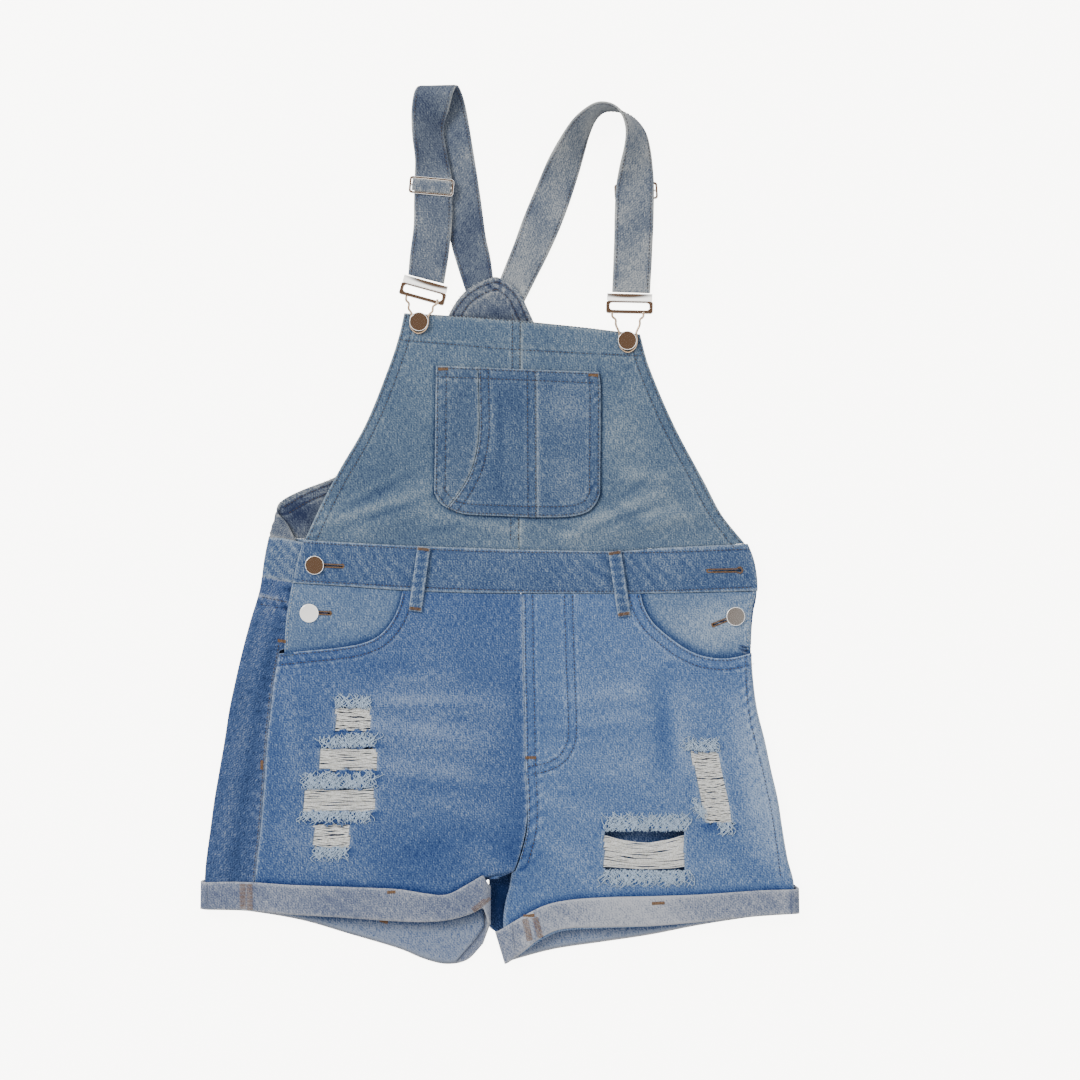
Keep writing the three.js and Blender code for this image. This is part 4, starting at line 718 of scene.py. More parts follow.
@dataclass(frozen=True)
class Layer:
    """A cloth layer seen from above: its height, its seams, its fading and its painted shading."""

    base: Relief
    seams: tuple[Seam, ...] = ()
    patches_and_shadows: tuple[Fade | Shade, ...] = ()

    def height(self, x: Array, y: Array) -> Array:
        """The outer side with its seams."""
        total = self.base(x, y)
        for seam in self.seams:
            total = total + seam.relief(x, y)[0]
        return total

    def tone(self, x: Array, y: Array) -> Array:
        """Tone from seams, creases and patches: fading, painted highlights and painted shade."""
        # Painted highlights on fold and crease crests, and painted shade in the troughs.
        crest = 0.16 * ridges(FOLDS, x, y) + 0.3 * ridges(CREASES, x, y)
        total = crest - 0.1
        for seam in self.seams:
            total = total + seam.relief(x, y)[1]
        for shading_and_fading in self.patches_and_shadows:
            total = total + 0.62 * shading_and_fading.tone(x, y)
        return total


@dataclass
class Cloth:
    """One cut piece of cloth, gridded finely and put in its place.

    The place function takes shares across and down the piece, and returns its
    outer side in millimetres and its flat pattern.
    """

    name: str
    slot: str
    finish: Denim
    place: Place
    width: float
    length: float
    tone: Relief | None = None
    thickness: float = DENIM
    outward: int = 1
    spacing: float = 2.2
    edge_wear: float = 0.7
    gone: Relief | None = None
    rests_on: tuple[str, ...] = ()
    held: str = "laid"
    closed: bool = False
    packed: bool = True

    def build(self) -> None:
        made, start = grid(*(max(3, math.ceil(size / self.spacing)) for size in (self.width, self.length)))
        u, v = start[:, 0] + 0.5, 0.5 - start[:, 1]
        points, pattern = self.place(u, v)
        tone = self.tone(points[:, 0], points[:, 1]) if self.tone else np.zeros(len(u))
        tone = tone + self.worn_edges(u, v)
        area = self.pattern_area(made, dress(made, points, pattern, tone))
        if self.gone is not None:
            middles = np.array([face.calc_center_median()[:2] for face in made.faces]) / MM
            lost = self.gone(middles[:, 0], middles[:, 1])
            bmesh.ops.delete(made, geom=[f for f, out in zip(list(made.faces), lost) if out], context="FACES")
        if self.closed:
            bmesh.ops.remove_doubles(made, verts=made.verts, dist=0.05 * MM)
        if self.outward < 0:
            bmesh.ops.reverse_faces(made, faces=made.faces)
        name, nodes = (f"{self.name}_cloth", (self.name,)) if self.packed else (self.name, ())
        piece = put(name, made, self.slot, self.finish.material(), *nodes)
        wall = piece.modifiers.new("cloth", "SOLIDIFY")
        wall.thickness = self.thickness * MM
        wall.offset = -1

    def worn_edges(self, u: Array, v: Array) -> Array:
        """Pale worn cloth along the cut's edges."""
        inset = np.minimum.reduce([v * self.length, (1 - v) * self.length])
        if not self.closed:
            inset = np.minimum.reduce([inset, u * self.width, (1 - u) * self.width])
        return self.edge_wear * np.exp(-inset / 1.5)

    def pattern_area(self, made: Mesh, cloth: bmesh.types.BMLayerItem) -> float:
        """The flat cut's area in square metres."""
        total = 0.0
        for face in made.faces:
            corners = [loop[cloth].uv for loop in face.loops]
            total += abs(sum(a.cross(b) for a, b in zip(corners, corners[1:] + corners[:1]))) / 2
        return total


def shown(name: str, made: Mesh, finish: bpy.types.Material) -> bpy.types.Object:
    """Turns a finished mesh into an object of the scene."""
    mesh = bpy.data.meshes.new(name)
    made.to_mesh(mesh)
    made.free()
    mesh.materials.append(finish)
    piece = bpy.data.objects.new(name, mesh)
    bpy.context.collection.objects.link(piece)
    return piece


def put(name: str, made: Mesh, slot: str, finish: bpy.types.Material, *nodes: str) -> bpy.types.Object:
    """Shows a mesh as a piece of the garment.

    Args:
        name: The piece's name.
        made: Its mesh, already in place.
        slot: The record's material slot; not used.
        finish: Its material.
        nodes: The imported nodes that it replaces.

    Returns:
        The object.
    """
    piece = shown(name, made, finish)
    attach(piece, "root")
    if nodes:
        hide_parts(*nodes)
    return piece


def grid(columns: int, rows: int) -> tuple[Mesh, Array]:
    """A flat square grid one unit wide, and its places."""
    made = bmesh.new()
    bmesh.ops.create_grid(made, x_segments=columns, y_segments=rows, size=0.5)
    made.verts.ensure_lookup_table()
    return made, np.array([vertex.co[:2] for vertex in made.verts])


def dress(made: Mesh, points: Array, pattern: Array, tone: Array) -> bmesh.types.BMLayerItem:
    """Moves a grid into place, and keeps its flat pattern and its tone: worn fading with painted highlights and
    painted shade.
    """
    # The tone attribute holds worn fading and painted highlights and shade.
    worn_and_shaded_tone = made.verts.layers.float.new("worn_and_shaded_tone")
    cloth = made.loops.layers.uv.new("cloth")
    for vertex, place, shade in zip(made.verts, points, tone):
        vertex.co = place * MM
        vertex[worn_and_shaded_tone] = shade
    for face in made.faces:
        face.smooth = True
        for loop in face.loops:
            loop[cloth].uv = pattern[loop.vert.index] * MM
    return cloth


def smooth(made: Mesh) -> None:
    """Shades a mesh smoothly."""
    for face in made.faces:
        face.smooth = True


def flat_piece(outline: Outline, layer: Layer) -> Place:
    """Places a piece seen from above on its layer."""

    def place(u: Array, v: Array) -> Pair:
        """The outer side and the pattern at shares of the piece."""
        x, y = outline.fill(u, v)
        return np.stack([x, y, layer.height(x, y)], 1), np.stack([x, y], 1)

    return place


@dataclass(frozen=True)
class Stitching:
    """Sewing thread, stitch by stitch."""

    length: float = 2.6
    pitch: float = 3.3
    thick: float = 0.8
    raised: float = 0.1

    def sew(self, made: Mesh, line: Array) -> None:
        """Lays stitches along a line.

        Args:
            made: The mesh to add them to.
            line: Places in millimetres.
        """
        length = run_of(line)[-1]
        if length < self.pitch:
            return
        middle = np.arange(self.pitch / 2, length, self.pitch)
        for a, b in zip(follow(line, middle - 0.5), follow(line, middle + 0.5)):
            way = Vector(b - a)
            if way.length < 1e-6:
                continue
            turn = way.to_track_quat("X", "Z").to_matrix().to_4x4()
            centre = Matrix.Translation(Vector((a + b) / 2 * MM))
            size = Matrix.Diagonal((self.length * MM, self.thick * MM, self.thick * MM, 1))
            bmesh.ops.create_icosphere(made, subdivisions=1, radius=0.5, matrix=centre @ turn @ size)

    def rows(self, made: Mesh, layer: Layer, seam: Seam) -> None:
        """Sews a seam's rows on its layer."""
        line = seam.line()
        way = np.gradient(line, axis=0)
        way /= np.linalg.norm(way, axis=1)[:, None]
        left = np.stack([-way[:, 1], way[:, 0]], 1)
        for row in seam.rows:
            at = line + left * row
            height = layer.height(at[:, 0], at[:, 1]) + self.raised
            self.sew(made, np.column_stack([at, height]))


@dataclass(frozen=True)
class Yarn:
    """A cotton thread's finish."""

    name: str
    color: Triple

    def material(self) -> bpy.types.Material:
        """Builds the finish once."""
        found = bpy.data.materials.get(self.name)
        if found:
            return found
        graph = Graph(self.name)
        fibre = graph.noise(graph.node("ShaderNodeTexCoord").outputs["Object"], 900, 2)
        dark, pale = (tuple(min(1.0, c * share) for c in self.color) for share in (0.62, 1.3))
        graph.tint(fibre, (0.3, dark), (0.7, pale))
        graph.bump(fibre, 0.4, 0.00012)
        constants(graph.shader, {"Roughness": 0.85})
        return graph.material


YARNS = {
    Thread.BROWN: Yarn("thread_brown", srgb(62, 56, 56)),
    Thread.PALE: Yarn("thread_pale", srgb(176, 184, 188)),
    Thread.RUST: Yarn("thread_rust", srgb(122, 92, 62)),
}


def sewn(name: str, slot: str, layer: Layer, thread: Thread, seams: Sequence[Seam]) -> None:
    """A piece's stitching as one mesh."""
    made = bmesh.new()
    for seam in seams:
        Stitching().rows(made, layer, seam)
    stitched(name, slot, made, thread)


def stitched(name: str, slot: str, made: Mesh, thread: Thread) -> None:
    """Finishes a mesh of stitches."""
    smooth(made)
    put(name, made, slot, YARNS[thread].material())


def by_profile(edge: Profile, ys: Sequence[float]) -> tuple[Point, ...]:
    """Points along a function of y."""
    return tuple((value_at(edge, y), float(y)) for y in ys)


def bib_seam(y: Array) -> Array:
    """The bib's centre seam."""
    return lerp(16.7, 18.4, (np.asarray(y, float) + 20) / 200)


def bib_line(x: Array) -> Array:
    """The bib's top edge."""
    share = (x + 83.5) / 205.5
    return lerp(185.5, 167, share) + 2.2 * np.sin(math.pi * share)


BIB_SIDES = (
    Seam(by_profile(bib_left_edge, (184, 160, 130, 100, 70, 40, 15, -11)),
         rows=(2.4, 9.4), lift=0.5, pucker=0.3),
    Seam(by_profile(bib_right_edge, (165, 140, 110, 80, 50, 20, -4, -14)),
         rows=(-2.4, -9.4), lift=0.5, pucker=0.3),
)
BIB_HEM = Seam(((-90, 162.4), (-40, 158), (8.7, 154), (70, 150.6), (128, 148.0)),
               rows=(0.0,), pucker=0.26, width=5)
BIB_CENTRE = Seam(((18.3, 185), (17.8, 120), (17.2, 60), (16.7, -12)),
                  rows=(-7.4, -0.8), lift=0.45, pucker=0.25)
BIB_EDGE = Seam(((-84, 183.6), (-40, 182.6), (20, 177.8), (80, 172), (121, 165.6)),
                rows=(0.0,), pucker=0.16, width=3)
POCKET_TOP = Seam(((-55, 139.5), (-18, 138.1), (32, 136.1), (85, 134)),
                  rows=(-1.8, -9.6), pucker=0.26, pitch=7.5)
POCKET_SIDES = (
    Seam(((-55.8, 138), (-56.3, 90), (-57, 28.5)), rows=(1.8, 9.2), pucker=0.26, pitch=7.5),
    Seam(((86, 134), (87.4, 122), (87, 28)), rows=(-1.8, -9.2), pucker=0.26, pitch=7.5),
    Seam(((-57, 28.5), (-46.4, 15.4), (-32, 10.5), (0, 8.7), (32, 7.6), (60, 8.2), (75.5, 12), (83, 19),
          (87, 28)), rows=(1.8, 9.2), pucker=0.26, pitch=7.5),
)
POCKET_CURVE = Seam(((-19, 138), (-18.2, 104), (-18.6, 76), (-23.5, 52), (-32, 34.5), (-45.6, 15.6)),
                    rows=(1.8, 8.6), pucker=0.24, pitch=7.5)
POCKET_SPLIT = Seam(((31.6, 135), (31.9, 80), (32.2, 8)), rows=(-7.8, -1.2), pucker=0.24, pitch=7.5)
WAIST_MIDDLE = Seam(((-172, -31), (-100, -35), (-20, -38.6), (60, -40), (140, -39.6), (219, -36.6)),
                    rows=(-16.6, 16.6), lift=0.05, pucker=0.36, pitch=12.5, slant=0.8, shading_and_fading=0.42)
CENTRE_FRONT = Seam(by_profile(centre_front, (-60, -110, -160, -212, -238, -264, -290)), rows=(1.6, 8.4),
                    pucker=0.34, pitch=9, shading_and_fading=0.6)
SIDE_LEFT = Seam(by_profile(seam_left, (-100, -140, -180, -220, -260, -306)),
                 rows=(-1.8,), pucker=0.34, shading_and_fading=0.55)
SIDE_RIGHT = Seam(((213, -113), (216, -160), (228, -212), (236, -250), (244, -306)),
                  rows=(0,), pucker=0.3, shading_and_fading=0.5)
FLY = (
    Seam(((56, -60), (57.6, -120), (59.4, -182), (56, -193), (51, -200), (40, -206), (24, -209)),
         rows=(0.0, 6.9), lift=0.15, pucker=0.3, shading_and_fading=0.5),
)
POCKET_MOUTHS = (
    Seam(OPENING_LEFT, rows=(-2.0, -9.6), lift=0.5, pucker=0.34, shading_and_fading=0.6),
    Seam(OPENING_RIGHT, rows=(-2.0, -9.6), lift=0.5, pucker=0.34, shading_and_fading=0.6),
)
FACING_EDGES = (
    Seam(((-181, -52), (-184, -66), (-186.5, -84), (-187.5, -108)), rows=(2.6,), pucker=0.2),
    Seam(((223.4, -57), (219.6, -70), (218.2, -84), (218, -108.4)), rows=(-2.6,), pucker=0.2),
)
YOKE_SEAM = Seam(((-207.5, -61.5), (-197, -63.8), (-186, -66)), rows=(0.0, -6.4), pucker=0.34, shading_and_fading=0.6)


@dataclass
class Bib:
    """The front bib, in two halves with a turned top hem."""

    spacing: float = 2.0
    seams: tuple[Seam, ...] = (*BIB_SIDES, BIB_HEM, BIB_CENTRE, BIB_EDGE)

    def layer(self) -> Layer:
        """The bib's outer side, thicker along its top hem."""

        def base(x: Array, y: Array) -> Array:
            """The bib's height with its hem."""
            return bib_top(x, y) + HEM_RAISE * ease((HEM_DEPTH + 1 - (bib_line(x) - y)) / 2)

        # Painted shadows on the bib beside the pocket's edges and above the waistband's top edge.
        corners = tuple(Shade(seam.points, 2.0, -1.3) for seam in POCKET_SIDES)
        return Layer(base, self.seams, (*BIB_FADING_AND_SHADING, *corners, Shade(WAIST_TOP, 2.2, -0.9)))

    def build(self) -> None:
        """Makes both halves and their stitching."""
        layer = self.layer()
        low_left, low_right = 16.7 - HALF_GAP, 16.7 + HALF_GAP
        top, low = value_at(bib_line, 18.4), value_at(waist_top, 16.7) + HAIR
        left = Outline(
            across(bib_line, -83.5, 18.4 - HALF_GAP),
            across(waist_top, -169.5, low_left, HAIR),
            down(bib_left_edge, 185.5, -12 + HAIR),
            down(bib_seam, top, low, -HALF_GAP),
        )
        right = Outline(
            across(bib_line, 18.4 + HALF_GAP, 122),
            across(waist_top, low_right, 212.5, HAIR),
            down(bib_seam, top, low, HALF_GAP),
            down(bib_right_edge, 167, -15.4 + HAIR),
        )
        for name, outline in (("bib_left", left), ("bib_right", right)):
            Cloth(name, "bib_denim", BIB_DENIM, flat_piece(outline, layer), 190, 198,
                  layer.tone, spacing=self.spacing, rests_on=("back_bib_cloth",)).build()
        sewn("bib_stitching", "bib_denim", layer, Thread.BROWN, self.seams)


@dataclass
class BibPocket:
    """The pocket pieced from a side, a centre and a right panel."""

    spacing: float = 1.8
    seams: tuple[Seam, ...] = (POCKET_TOP, *POCKET_SIDES, POCKET_CURVE, POCKET_SPLIT)
    stop: float = 0.2

    def layer(self) -> Layer:
        """The pocket's outer side."""

        def base(x: Array, y: Array) -> Array:
            """One layer above the bib."""
            return bib_top(x, y) + 3 * SEAM_GAP + DENIM

        # The thin light and dark lines are painted highlight and shade along creases; the broad pale patches
        # are fading.
        creases = (Fade(-8, 90, 4, 34, 0.3), Fade(0, 84, 3, 30, -0.5), Fade(-2, 40, 4, 16, -0.4, 0.4),
                   Fade(58, 100, 22, 20, 0.6), Fade(62, 44, 20, 30, 0.4), Fade(12, 106, 14, 18, -0.2))
        return Layer(base, self.seams, creases)

    def build(self) -> None:
        """Makes the three panels and their stitching."""
        layer = self.layer()

        def top(x: Array) -> Array:
            """The pocket's top edge."""
            return lerp(139.7, 134, (x + 56) / 142)

        def seam(y: Array) -> Array:
            """The upright seam."""
            return lerp(32.2, 31.4, (y - 7) / 130)

        curve = smooth_route(POCKET_CURVE.points)

        def beside(shift: float) -> Boundary:
            """The curved seam, moved aside."""
            return lambda t: curve(t) + np.array([shift, 0.0])

        side = Outline(
            across(top, -55.7, -19 - HALF_GAP, -self.stop),
            smooth_route(((-57, 28.5), (-53, 21), (-46.4, 15.8))),
            smooth_route(((-55.7, 139.5), (-56.3, 90), (-57, 28.5))),
            beside(-HALF_GAP - self.stop),
        )
        centre = Outline(
            across(top, -19 + HALF_GAP, 31.4 - HALF_GAP, -self.stop),
            smooth_route(((-45.2, 15.3), (-32, 10.5), (0, 8.7), (32, 7.5))),
            beside(HALF_GAP + self.stop),
            down(seam, 135.9, 7.5, -HALF_GAP),
        )
        right = Outline(
            across(top, 31.4 + HALF_GAP, 85.8, -self.stop),
            smooth_route(((32.4, 7.5), (60, 8.2), (75.5, 12), (83, 19), (87, 28))),
            down(seam, 135.9, 7.5, HALF_GAP),
            smooth_route(((85.8, 134), (87.4, 122), (87, 28))),
        )
        for name, slot, finish, outline, width in (
            ("pocket_side", "deep_denim", DEEP_DENIM, side, 38),
            ("pocket_centre", "leg_denim", POCKET_DENIM, centre, 78),
            ("pocket_right", "leg_denim", POCKET_DENIM, right, 56),
        ):
            Cloth(name, slot, finish, flat_piece(outline, layer), width, 128,
                  layer.tone, spacing=self.spacing, rests_on=("bib_left_cloth", "bib_right_cloth")).build()
        sewn("pocket_stitching", "leg_denim", layer, Thread.BROWN, self.seams)


def edge_after(profile: Profile, low: Profile, shift: float) -> Profile:
    """A front panel's inner edge: the centre seam, and the inner leg below the crotch."""

    def read(y: Array) -> Array:
        """The edge at y."""
        gap = HALF_GAP + 0.5 * ease((-240 - y) / 30)
        return np.where(y > CROTCH, profile(y), low(y)) + shift * gap

    return read


def under_band(places: Sequence[float]) -> tuple[Point, ...]:
    """The panels' upper edge, close under the waistband."""
    return tuple((x, value_at(waist_bottom, x) - HAIR) for x in places)


@dataclass
class FrontLegs:
    """The two front panels, worn through in six places."""

    spacing: float = 1.9
    left_seams: tuple[Seam, ...] = (POCKET_MOUTHS[0], CENTRE_FRONT, SIDE_LEFT)
    right_seams: tuple[Seam, ...] = (POCKET_MOUTHS[1], CENTRE_FRONT, SIDE_RIGHT, *FLY)

    def outlines(self) -> tuple[Outline, Outline]:
        """Both panels in plan."""
        left = Outline(
            smooth_route(OPENING_LEFT, under_band((-84.5, -60, -35, -8, 19.85))),
            across(column(CUFF_LEFT, 2), -214.7, -15.5, HEM_TUCK),
            down(seam_left, -111, -331.6, HALF_GAP),
            down(edge_after(centre_front, inseam_left, -1), -59, -329.2),
        )
        right = Outline(
            smooth_route(under_band((20.15, 50, 80, 122)), OPENING_RIGHT),
            across(column(CUFF_RIGHT, 2), 12, FOLD_RIGHT_LOW, HEM_TUCK),
            down(edge_after(centre_front, inseam_right, 1), -59, -376),
            down(edge_right, -110.6, -335),
        )
        return left, right

    def layer(self, left: bool) -> Layer:
        """A panel's outer side."""
        seam_x = inseam_left if left else inseam_right
        seams = self.left_seams if left else self.right_seams
        table = CUFF_LEFT if left else CUFF_RIGHT
        # Painted shadows on the panels under the waistband's lower edge and above the cuffs' upper edge.
        corners = (Shade(WAIST_BOTTOM, 2.4, -1.1), Shade(tuple((row[0], row[1]) for row in table), 3.4, -1.1))
        return Layer(lambda x, y: inseam_drop(x, y, seam_x(y)), seams, (*LEG_FADING_AND_SHADING, *corners))

    def worn_through(self, left: bool) -> Relief:
        """Where a panel's cloth is gone."""
        windows = [rip for rip in RIPS if rip.left_leg == left]
        return lambda x, y: np.any([rip.holds(x, y) for rip in windows], axis=0)

    def tone(self, left: bool) -> Relief:
        """The layer's tone with its painted shading, paler beside the rips and darker just above and below
        them.
        """
        layer = self.layer(left)
        windows = [rip for rip in RIPS if rip.left_leg == left]

        def read(x: Array, y: Array) -> Array:
            """The fading at places."""
            total = layer.tone(x, y)
            for rip in windows:
                lean = rip.x + rip.lean * (y - rip.y)
                dx = np.maximum(np.abs(x - lean) - rip.width / 2, 0)
                dy = np.maximum(np.abs(y - rip.y) - rip.height / 2, 0)
                total = total + 0.3 * bell(dx, 3) * (dy <= 0) - 0.6 * bell(dx, 4) * (
                    (dy > 0) & (dy < 9)) * np.exp(-dy / 9)
            return total

        return read

    def build(self) -> None:
        """Makes both panels and their stitching."""
        finishes = (LEG_DENIM_LEFT, LEG_DENIM_RIGHT)
        for side, outline, finish in zip(("left", "right"), self.outlines(), finishes):
            left = side == "left"
            Cloth(f"front_{side}", "leg_denim", finish,
                  flat_piece(outline, self.layer(left)), 240, 285, self.tone(left), spacing=self.spacing,
                  gone=self.worn_through(left), rests_on=(f"back_{side}_cloth",)).build()
        sewn("front_left_stitching", "leg_denim", self.layer(True), Thread.BROWN, (POCKET_MOUTHS[0], SIDE_LEFT))
        sewn("front_right_stitching", "leg_denim", self.layer(False), Thread.BROWN,
             (POCKET_MOUTHS[1], CENTRE_FRONT, SIDE_RIGHT, *FLY))


@dataclass
class HipFacings:
    """The pieces in the pocket mouths, which carry the side buttonholes."""

    spacing: float = 1.8

    def build(self) -> None:
        """Makes both facings and their stitching."""
        left = Outline(
            across(waist_bottom, -180.5, -76, -HAIR),
            smooth_route(((-187.5, -112.5), (-162, -115), (-148, -116), (-135, -118), (-108, -110),
                          (-86, -92))),
            smooth_route(((-180.5, -50), (-183.5, -66), (-186, -84), (-187.5, -112.5))),
            smooth_route(((-76, -56.9), (-80, -74), (-86, -90))),
        )
        right = Outline(
            across(waist_bottom, 114, 223.4, -HAIR),
            smooth_route(((120, -92), (138, -108), (160, -118.5), (180, -122), (196, -119), (218, -113))),
            smooth_route(((114, -58.8), (116, -74), (120, -92))),
            smooth_route(((223.4, -57), (219.6, -70), (218.2, -84), (218, -113))),
        )
        # Painted shadows along both pocket mouths and under the waistband, with a painted shadow band along the
        # left mouth; the two pale patches are fading.
        shade = (Fade(-120, -102, 34, 7, -0.7), Fade(-150, -70, 30, 20, 0.15), Shade(OPENING_LEFT, 3.0, -1.3),
                 Shade(OPENING_RIGHT, 4.6, -1.7), Shade(WAIST_BOTTOM, 2.2, -0.8),
                 Fade(186, -84, 36, 24, 0.9))
        for side, outline, seam in (("left", left, FACING_EDGES[0]), ("right", right, FACING_EDGES[1])):
            layer = Layer(lambda x, y: layer_zero(x, y) + FACING_LAYER, (seam,), shade)
            Cloth(f"hip_facing_{side}", "pale_denim", FACING_DENIM,
                  flat_piece(outline, layer), 112, 62, layer.tone, spacing=self.spacing, edge_wear=0.4,
                  gone=buttonhole_gap(side), rests_on=(f"back_yoke_{side}_cloth",)).build()
            sewn(f"hip_facing_{side}_stitching", "pale_denim", layer, Thread.PALE, (seam,))


@dataclass(frozen=True)
class Buttonhole:
    """A keyhole buttonhole: a slit that ends in an eye, worked round in thread."""

    name: str
    eye: Point
    end: Point
    radius: float
    level: float
    slit: float = 0.8

    def away(self, x: Array, y: Array) -> Array:
        """Distance outside the hole, negative inside it."""
        dx, dy = self.end[0] - self.eye[0], self.end[1] - self.eye[1]
        share = clamp01(((x - self.eye[0]) * dx + (y - self.eye[1]) * dy) / (dx * dx + dy * dy))
        slit = np.hypot(x - self.eye[0] - share * dx, y - self.eye[1] - share * dy) - self.slit
        return np.minimum(slit, np.hypot(x - self.eye[0], y - self.eye[1]) - self.radius)

    def ring(self, away: float, step: float) -> Array:
        """Places round the hole at a distance outside it."""
        dx, dy = self.end[0] - self.eye[0], self.end[1] - self.eye[1]
        size = math.hypot(dx, dy)
        way, side = np.array([dx, dy]) / size, np.array([-dy, dx]) / size
        wide, narrow = self.radius + away, self.slit + away
        neck = math.acos(min(1.0, narrow / wide))
        eye = np.array(self.eye)
        turn = np.linspace(math.pi / 2 - neck, 2 * math.pi - math.pi / 2 + neck, 24)
        head = [eye + wide * (math.cos(a) * way + math.sin(a) * side) for a in turn]
        tail = [np.array(self.end) + narrow * (math.cos(a) * way + math.sin(a) * side)
                for a in np.linspace(-math.pi / 2, math.pi / 2, 8)]
        loop = np.array([*head, *tail, head[0]])
        return follow(loop, np.arange(0, run_of(loop)[-1], step))

    def work(self, made: Mesh) -> None:
        """Adds the close stitches round the hole."""
        inner, outer = self.ring(0.1, 0.6), self.ring(1.25, 0.6)
        for a in outer:
            b = inner[np.argmin(np.hypot(*(inner - a).T))]
            z = float(layer_zero(*(np.array([k]) for k in a))[0]) + self.level
            Stitching(length=1.7, pitch=1.0, thick=0.6).sew(
                made, np.array([[*lerp(b, a, -0.1), z], [*lerp(b, a, 0.5), z + 0.25], [*lerp(b, a, 1.1), z]]))


HOLES = {
    "waist_left": Buttonhole("waist_left", (-161, -34), (-137, -35), 2.7, WAISTBAND_LAYER + 0.25),
    "waist_right": Buttonhole("waist_right", (208.2, -38.5), (181, -39), 1.9, WAISTBAND_LAYER + 0.25),
    "left": Buttonhole("hip_left", (-166, -75.3), (-148, -75.8), 2.7, FACING_LAYER + 0.25),
    "right": Buttonhole("hip_right", (204.5, -78.5), (185.5, -86), 2.7, FACING_LAYER + 0.25),
}


def buttonhole_gap(*names: str) -> Relief:
    """Where buttonholes are cut."""
    return lambda x, y: np.any([HOLES[name].away(x, y) < 0 for name in names], axis=0)


@dataclass
class Waistband:
    """The front waistband with its worked buttonholes and belt loops."""

    spacing: float = 1.7

    def layer(self) -> Layer:
        """The waistband's outer side."""
        return Layer(lambda x, y: layer_zero(x, y) + WAISTBAND_LAYER, (WAIST_MIDDLE,),
                     (Fade(-60, -38, 60, 10, 0.12), Fade(120, -30, 50, 9, 0.16)))

    def build(self) -> None:
        """Makes the band, its stitching, buttonholes and loops."""
        layer = self.layer()
        outline = Outline(
            across(waist_top, -169.7, 213),
            across(waist_bottom, -180, 224),
            down(seam_left, -12, -49.5),
            down(edge_right, -15.4, -56.5),
        )
        Cloth("waistband_front", "leg_denim", WAIST_DENIM, flat_piece(outline, layer),
              395, 40, layer.tone, thickness=BAND, spacing=self.spacing,
              gone=buttonhole_gap("waist_left", "waist_right"), rests_on=("waistband_back_cloth",)).build()
        sewn("waistband_stitching", "leg_denim", layer, Thread.BROWN, (WAIST_MIDDLE,))
        made = bmesh.new()
        for hole in HOLES.values():
            hole.work(made)
        stitched("buttonhole_stitching", "weft_thread", made, Thread.RUST)
        self.loop("belt_loop_left", (-66, -18.4), (-73.6, -74))
        self.loop("belt_loop_right", (99.5, -21.6), (108, -78.5))

    def loop(self, name: str, start: Point, end: Point) -> None:
        """Makes one belt loop, bowed over the band and barred at both ends.

        Args:
            name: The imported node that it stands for.
            start: Its upper end.
            end: Its lower end.
        """
        run = np.array(end) - np.array(start)
        length, width, wall = float(np.hypot(*run)), 11.3, 2.0
        side = np.array([-run[1], run[0]]) / length

        def place(u: Array, v: Array) -> Pair:
            """The loop's outer side."""
            off = (u - 0.5) * width
            p = np.array(start) + v[:, None] * run + off[:, None] * side
            clear = lerp(BIB_LAYER + 0.8, PANEL_LAYER, ease(v * 1.4)) + SEAM_GAP
            fold = 0.35 * bell(off, 1.6) - 0.5 * (np.abs(off) / width * 2) ** 4
            z = layer_zero(p[:, 0], p[:, 1]) + clear + wall + 0.9 * np.sin(math.pi * v) + fold
            return np.column_stack([p, z]), np.stack([off, v * length], 1)

        def tone(x: Array, y: Array) -> Array:
            """Paler along the two raised edges."""
            off = (x - start[0]) * side[0] + (y - start[1]) * side[1]
            return 0.3 * bell(np.abs(off) - 4.6, 1.2) - 0.15 + 0.2 * np.sin(y * 0.9)

        Cloth(name, "leg_denim", WAIST_DENIM, place, width, length, tone,
              thickness=wall, spacing=1.0, rests_on=("waistband_front_cloth",)).build()
        made = bmesh.new()
        for share in (0.035, 0.965):
            middle = np.array(start) + share * run
            z = float(place(np.array([0.5]), np.array([share]))[0][0, 2]) + 0.1
            for row in np.arange(-5.0, 5.01, 0.8):
                at = middle + row * side
                tip = run / length * 1.2
                Stitching(length=2.4, pitch=1.0, thick=0.6).sew(
                    made, np.array([[*(at - tip), z], [*(at + tip), z]]))
        stitched(f"{name}_bars", "weft_thread", made, Thread.RUST)


def turn_up(side: int, g: Array, y: Array, closed: Array | bool = False) -> Array:
    """Where a place across the unrolled back lands: on the ground, round the side fold or on the front.

    Args:
        side: -1 at the viewer's left, 1 at the right.
        g: The unrolled place across.
        y: The place up the garment.
        closed: Whether the piece meets the front panel at its fold there.

    Returns:
        Places in millimetres.
    """
    fold = fold_left(y) if side < 0 else edge_right(y)
    ground = ground_at(fold, y)
    top = np.where(closed, panel_top(fold - 12, y), layer_zero(fold, y))
    radius = (top - ground) / 2
    past = (g - fold) * side
    back = ground_at(g, y) + ridges(BACK_CREASES, g, y) * ease((-past - 16) / 14)
    over_x = 2 * fold - g
    over = lerp(top, layer_zero(over_x, y), ease((past - radius) / 10))
    angle = math.pi * clamp01((past + radius) / (2 * radius))
    round_x = fold - side * radius * (1 - np.sin(angle))
    round_z = ground + radius * (1 - np.cos(angle))
    x = np.where(past <= -radius, g, np.where(past >= radius, over_x, round_x))
    z = np.where(past <= -radius, back, np.where(past >= radius, over, round_z))
    return np.stack([x, y, z], 1)


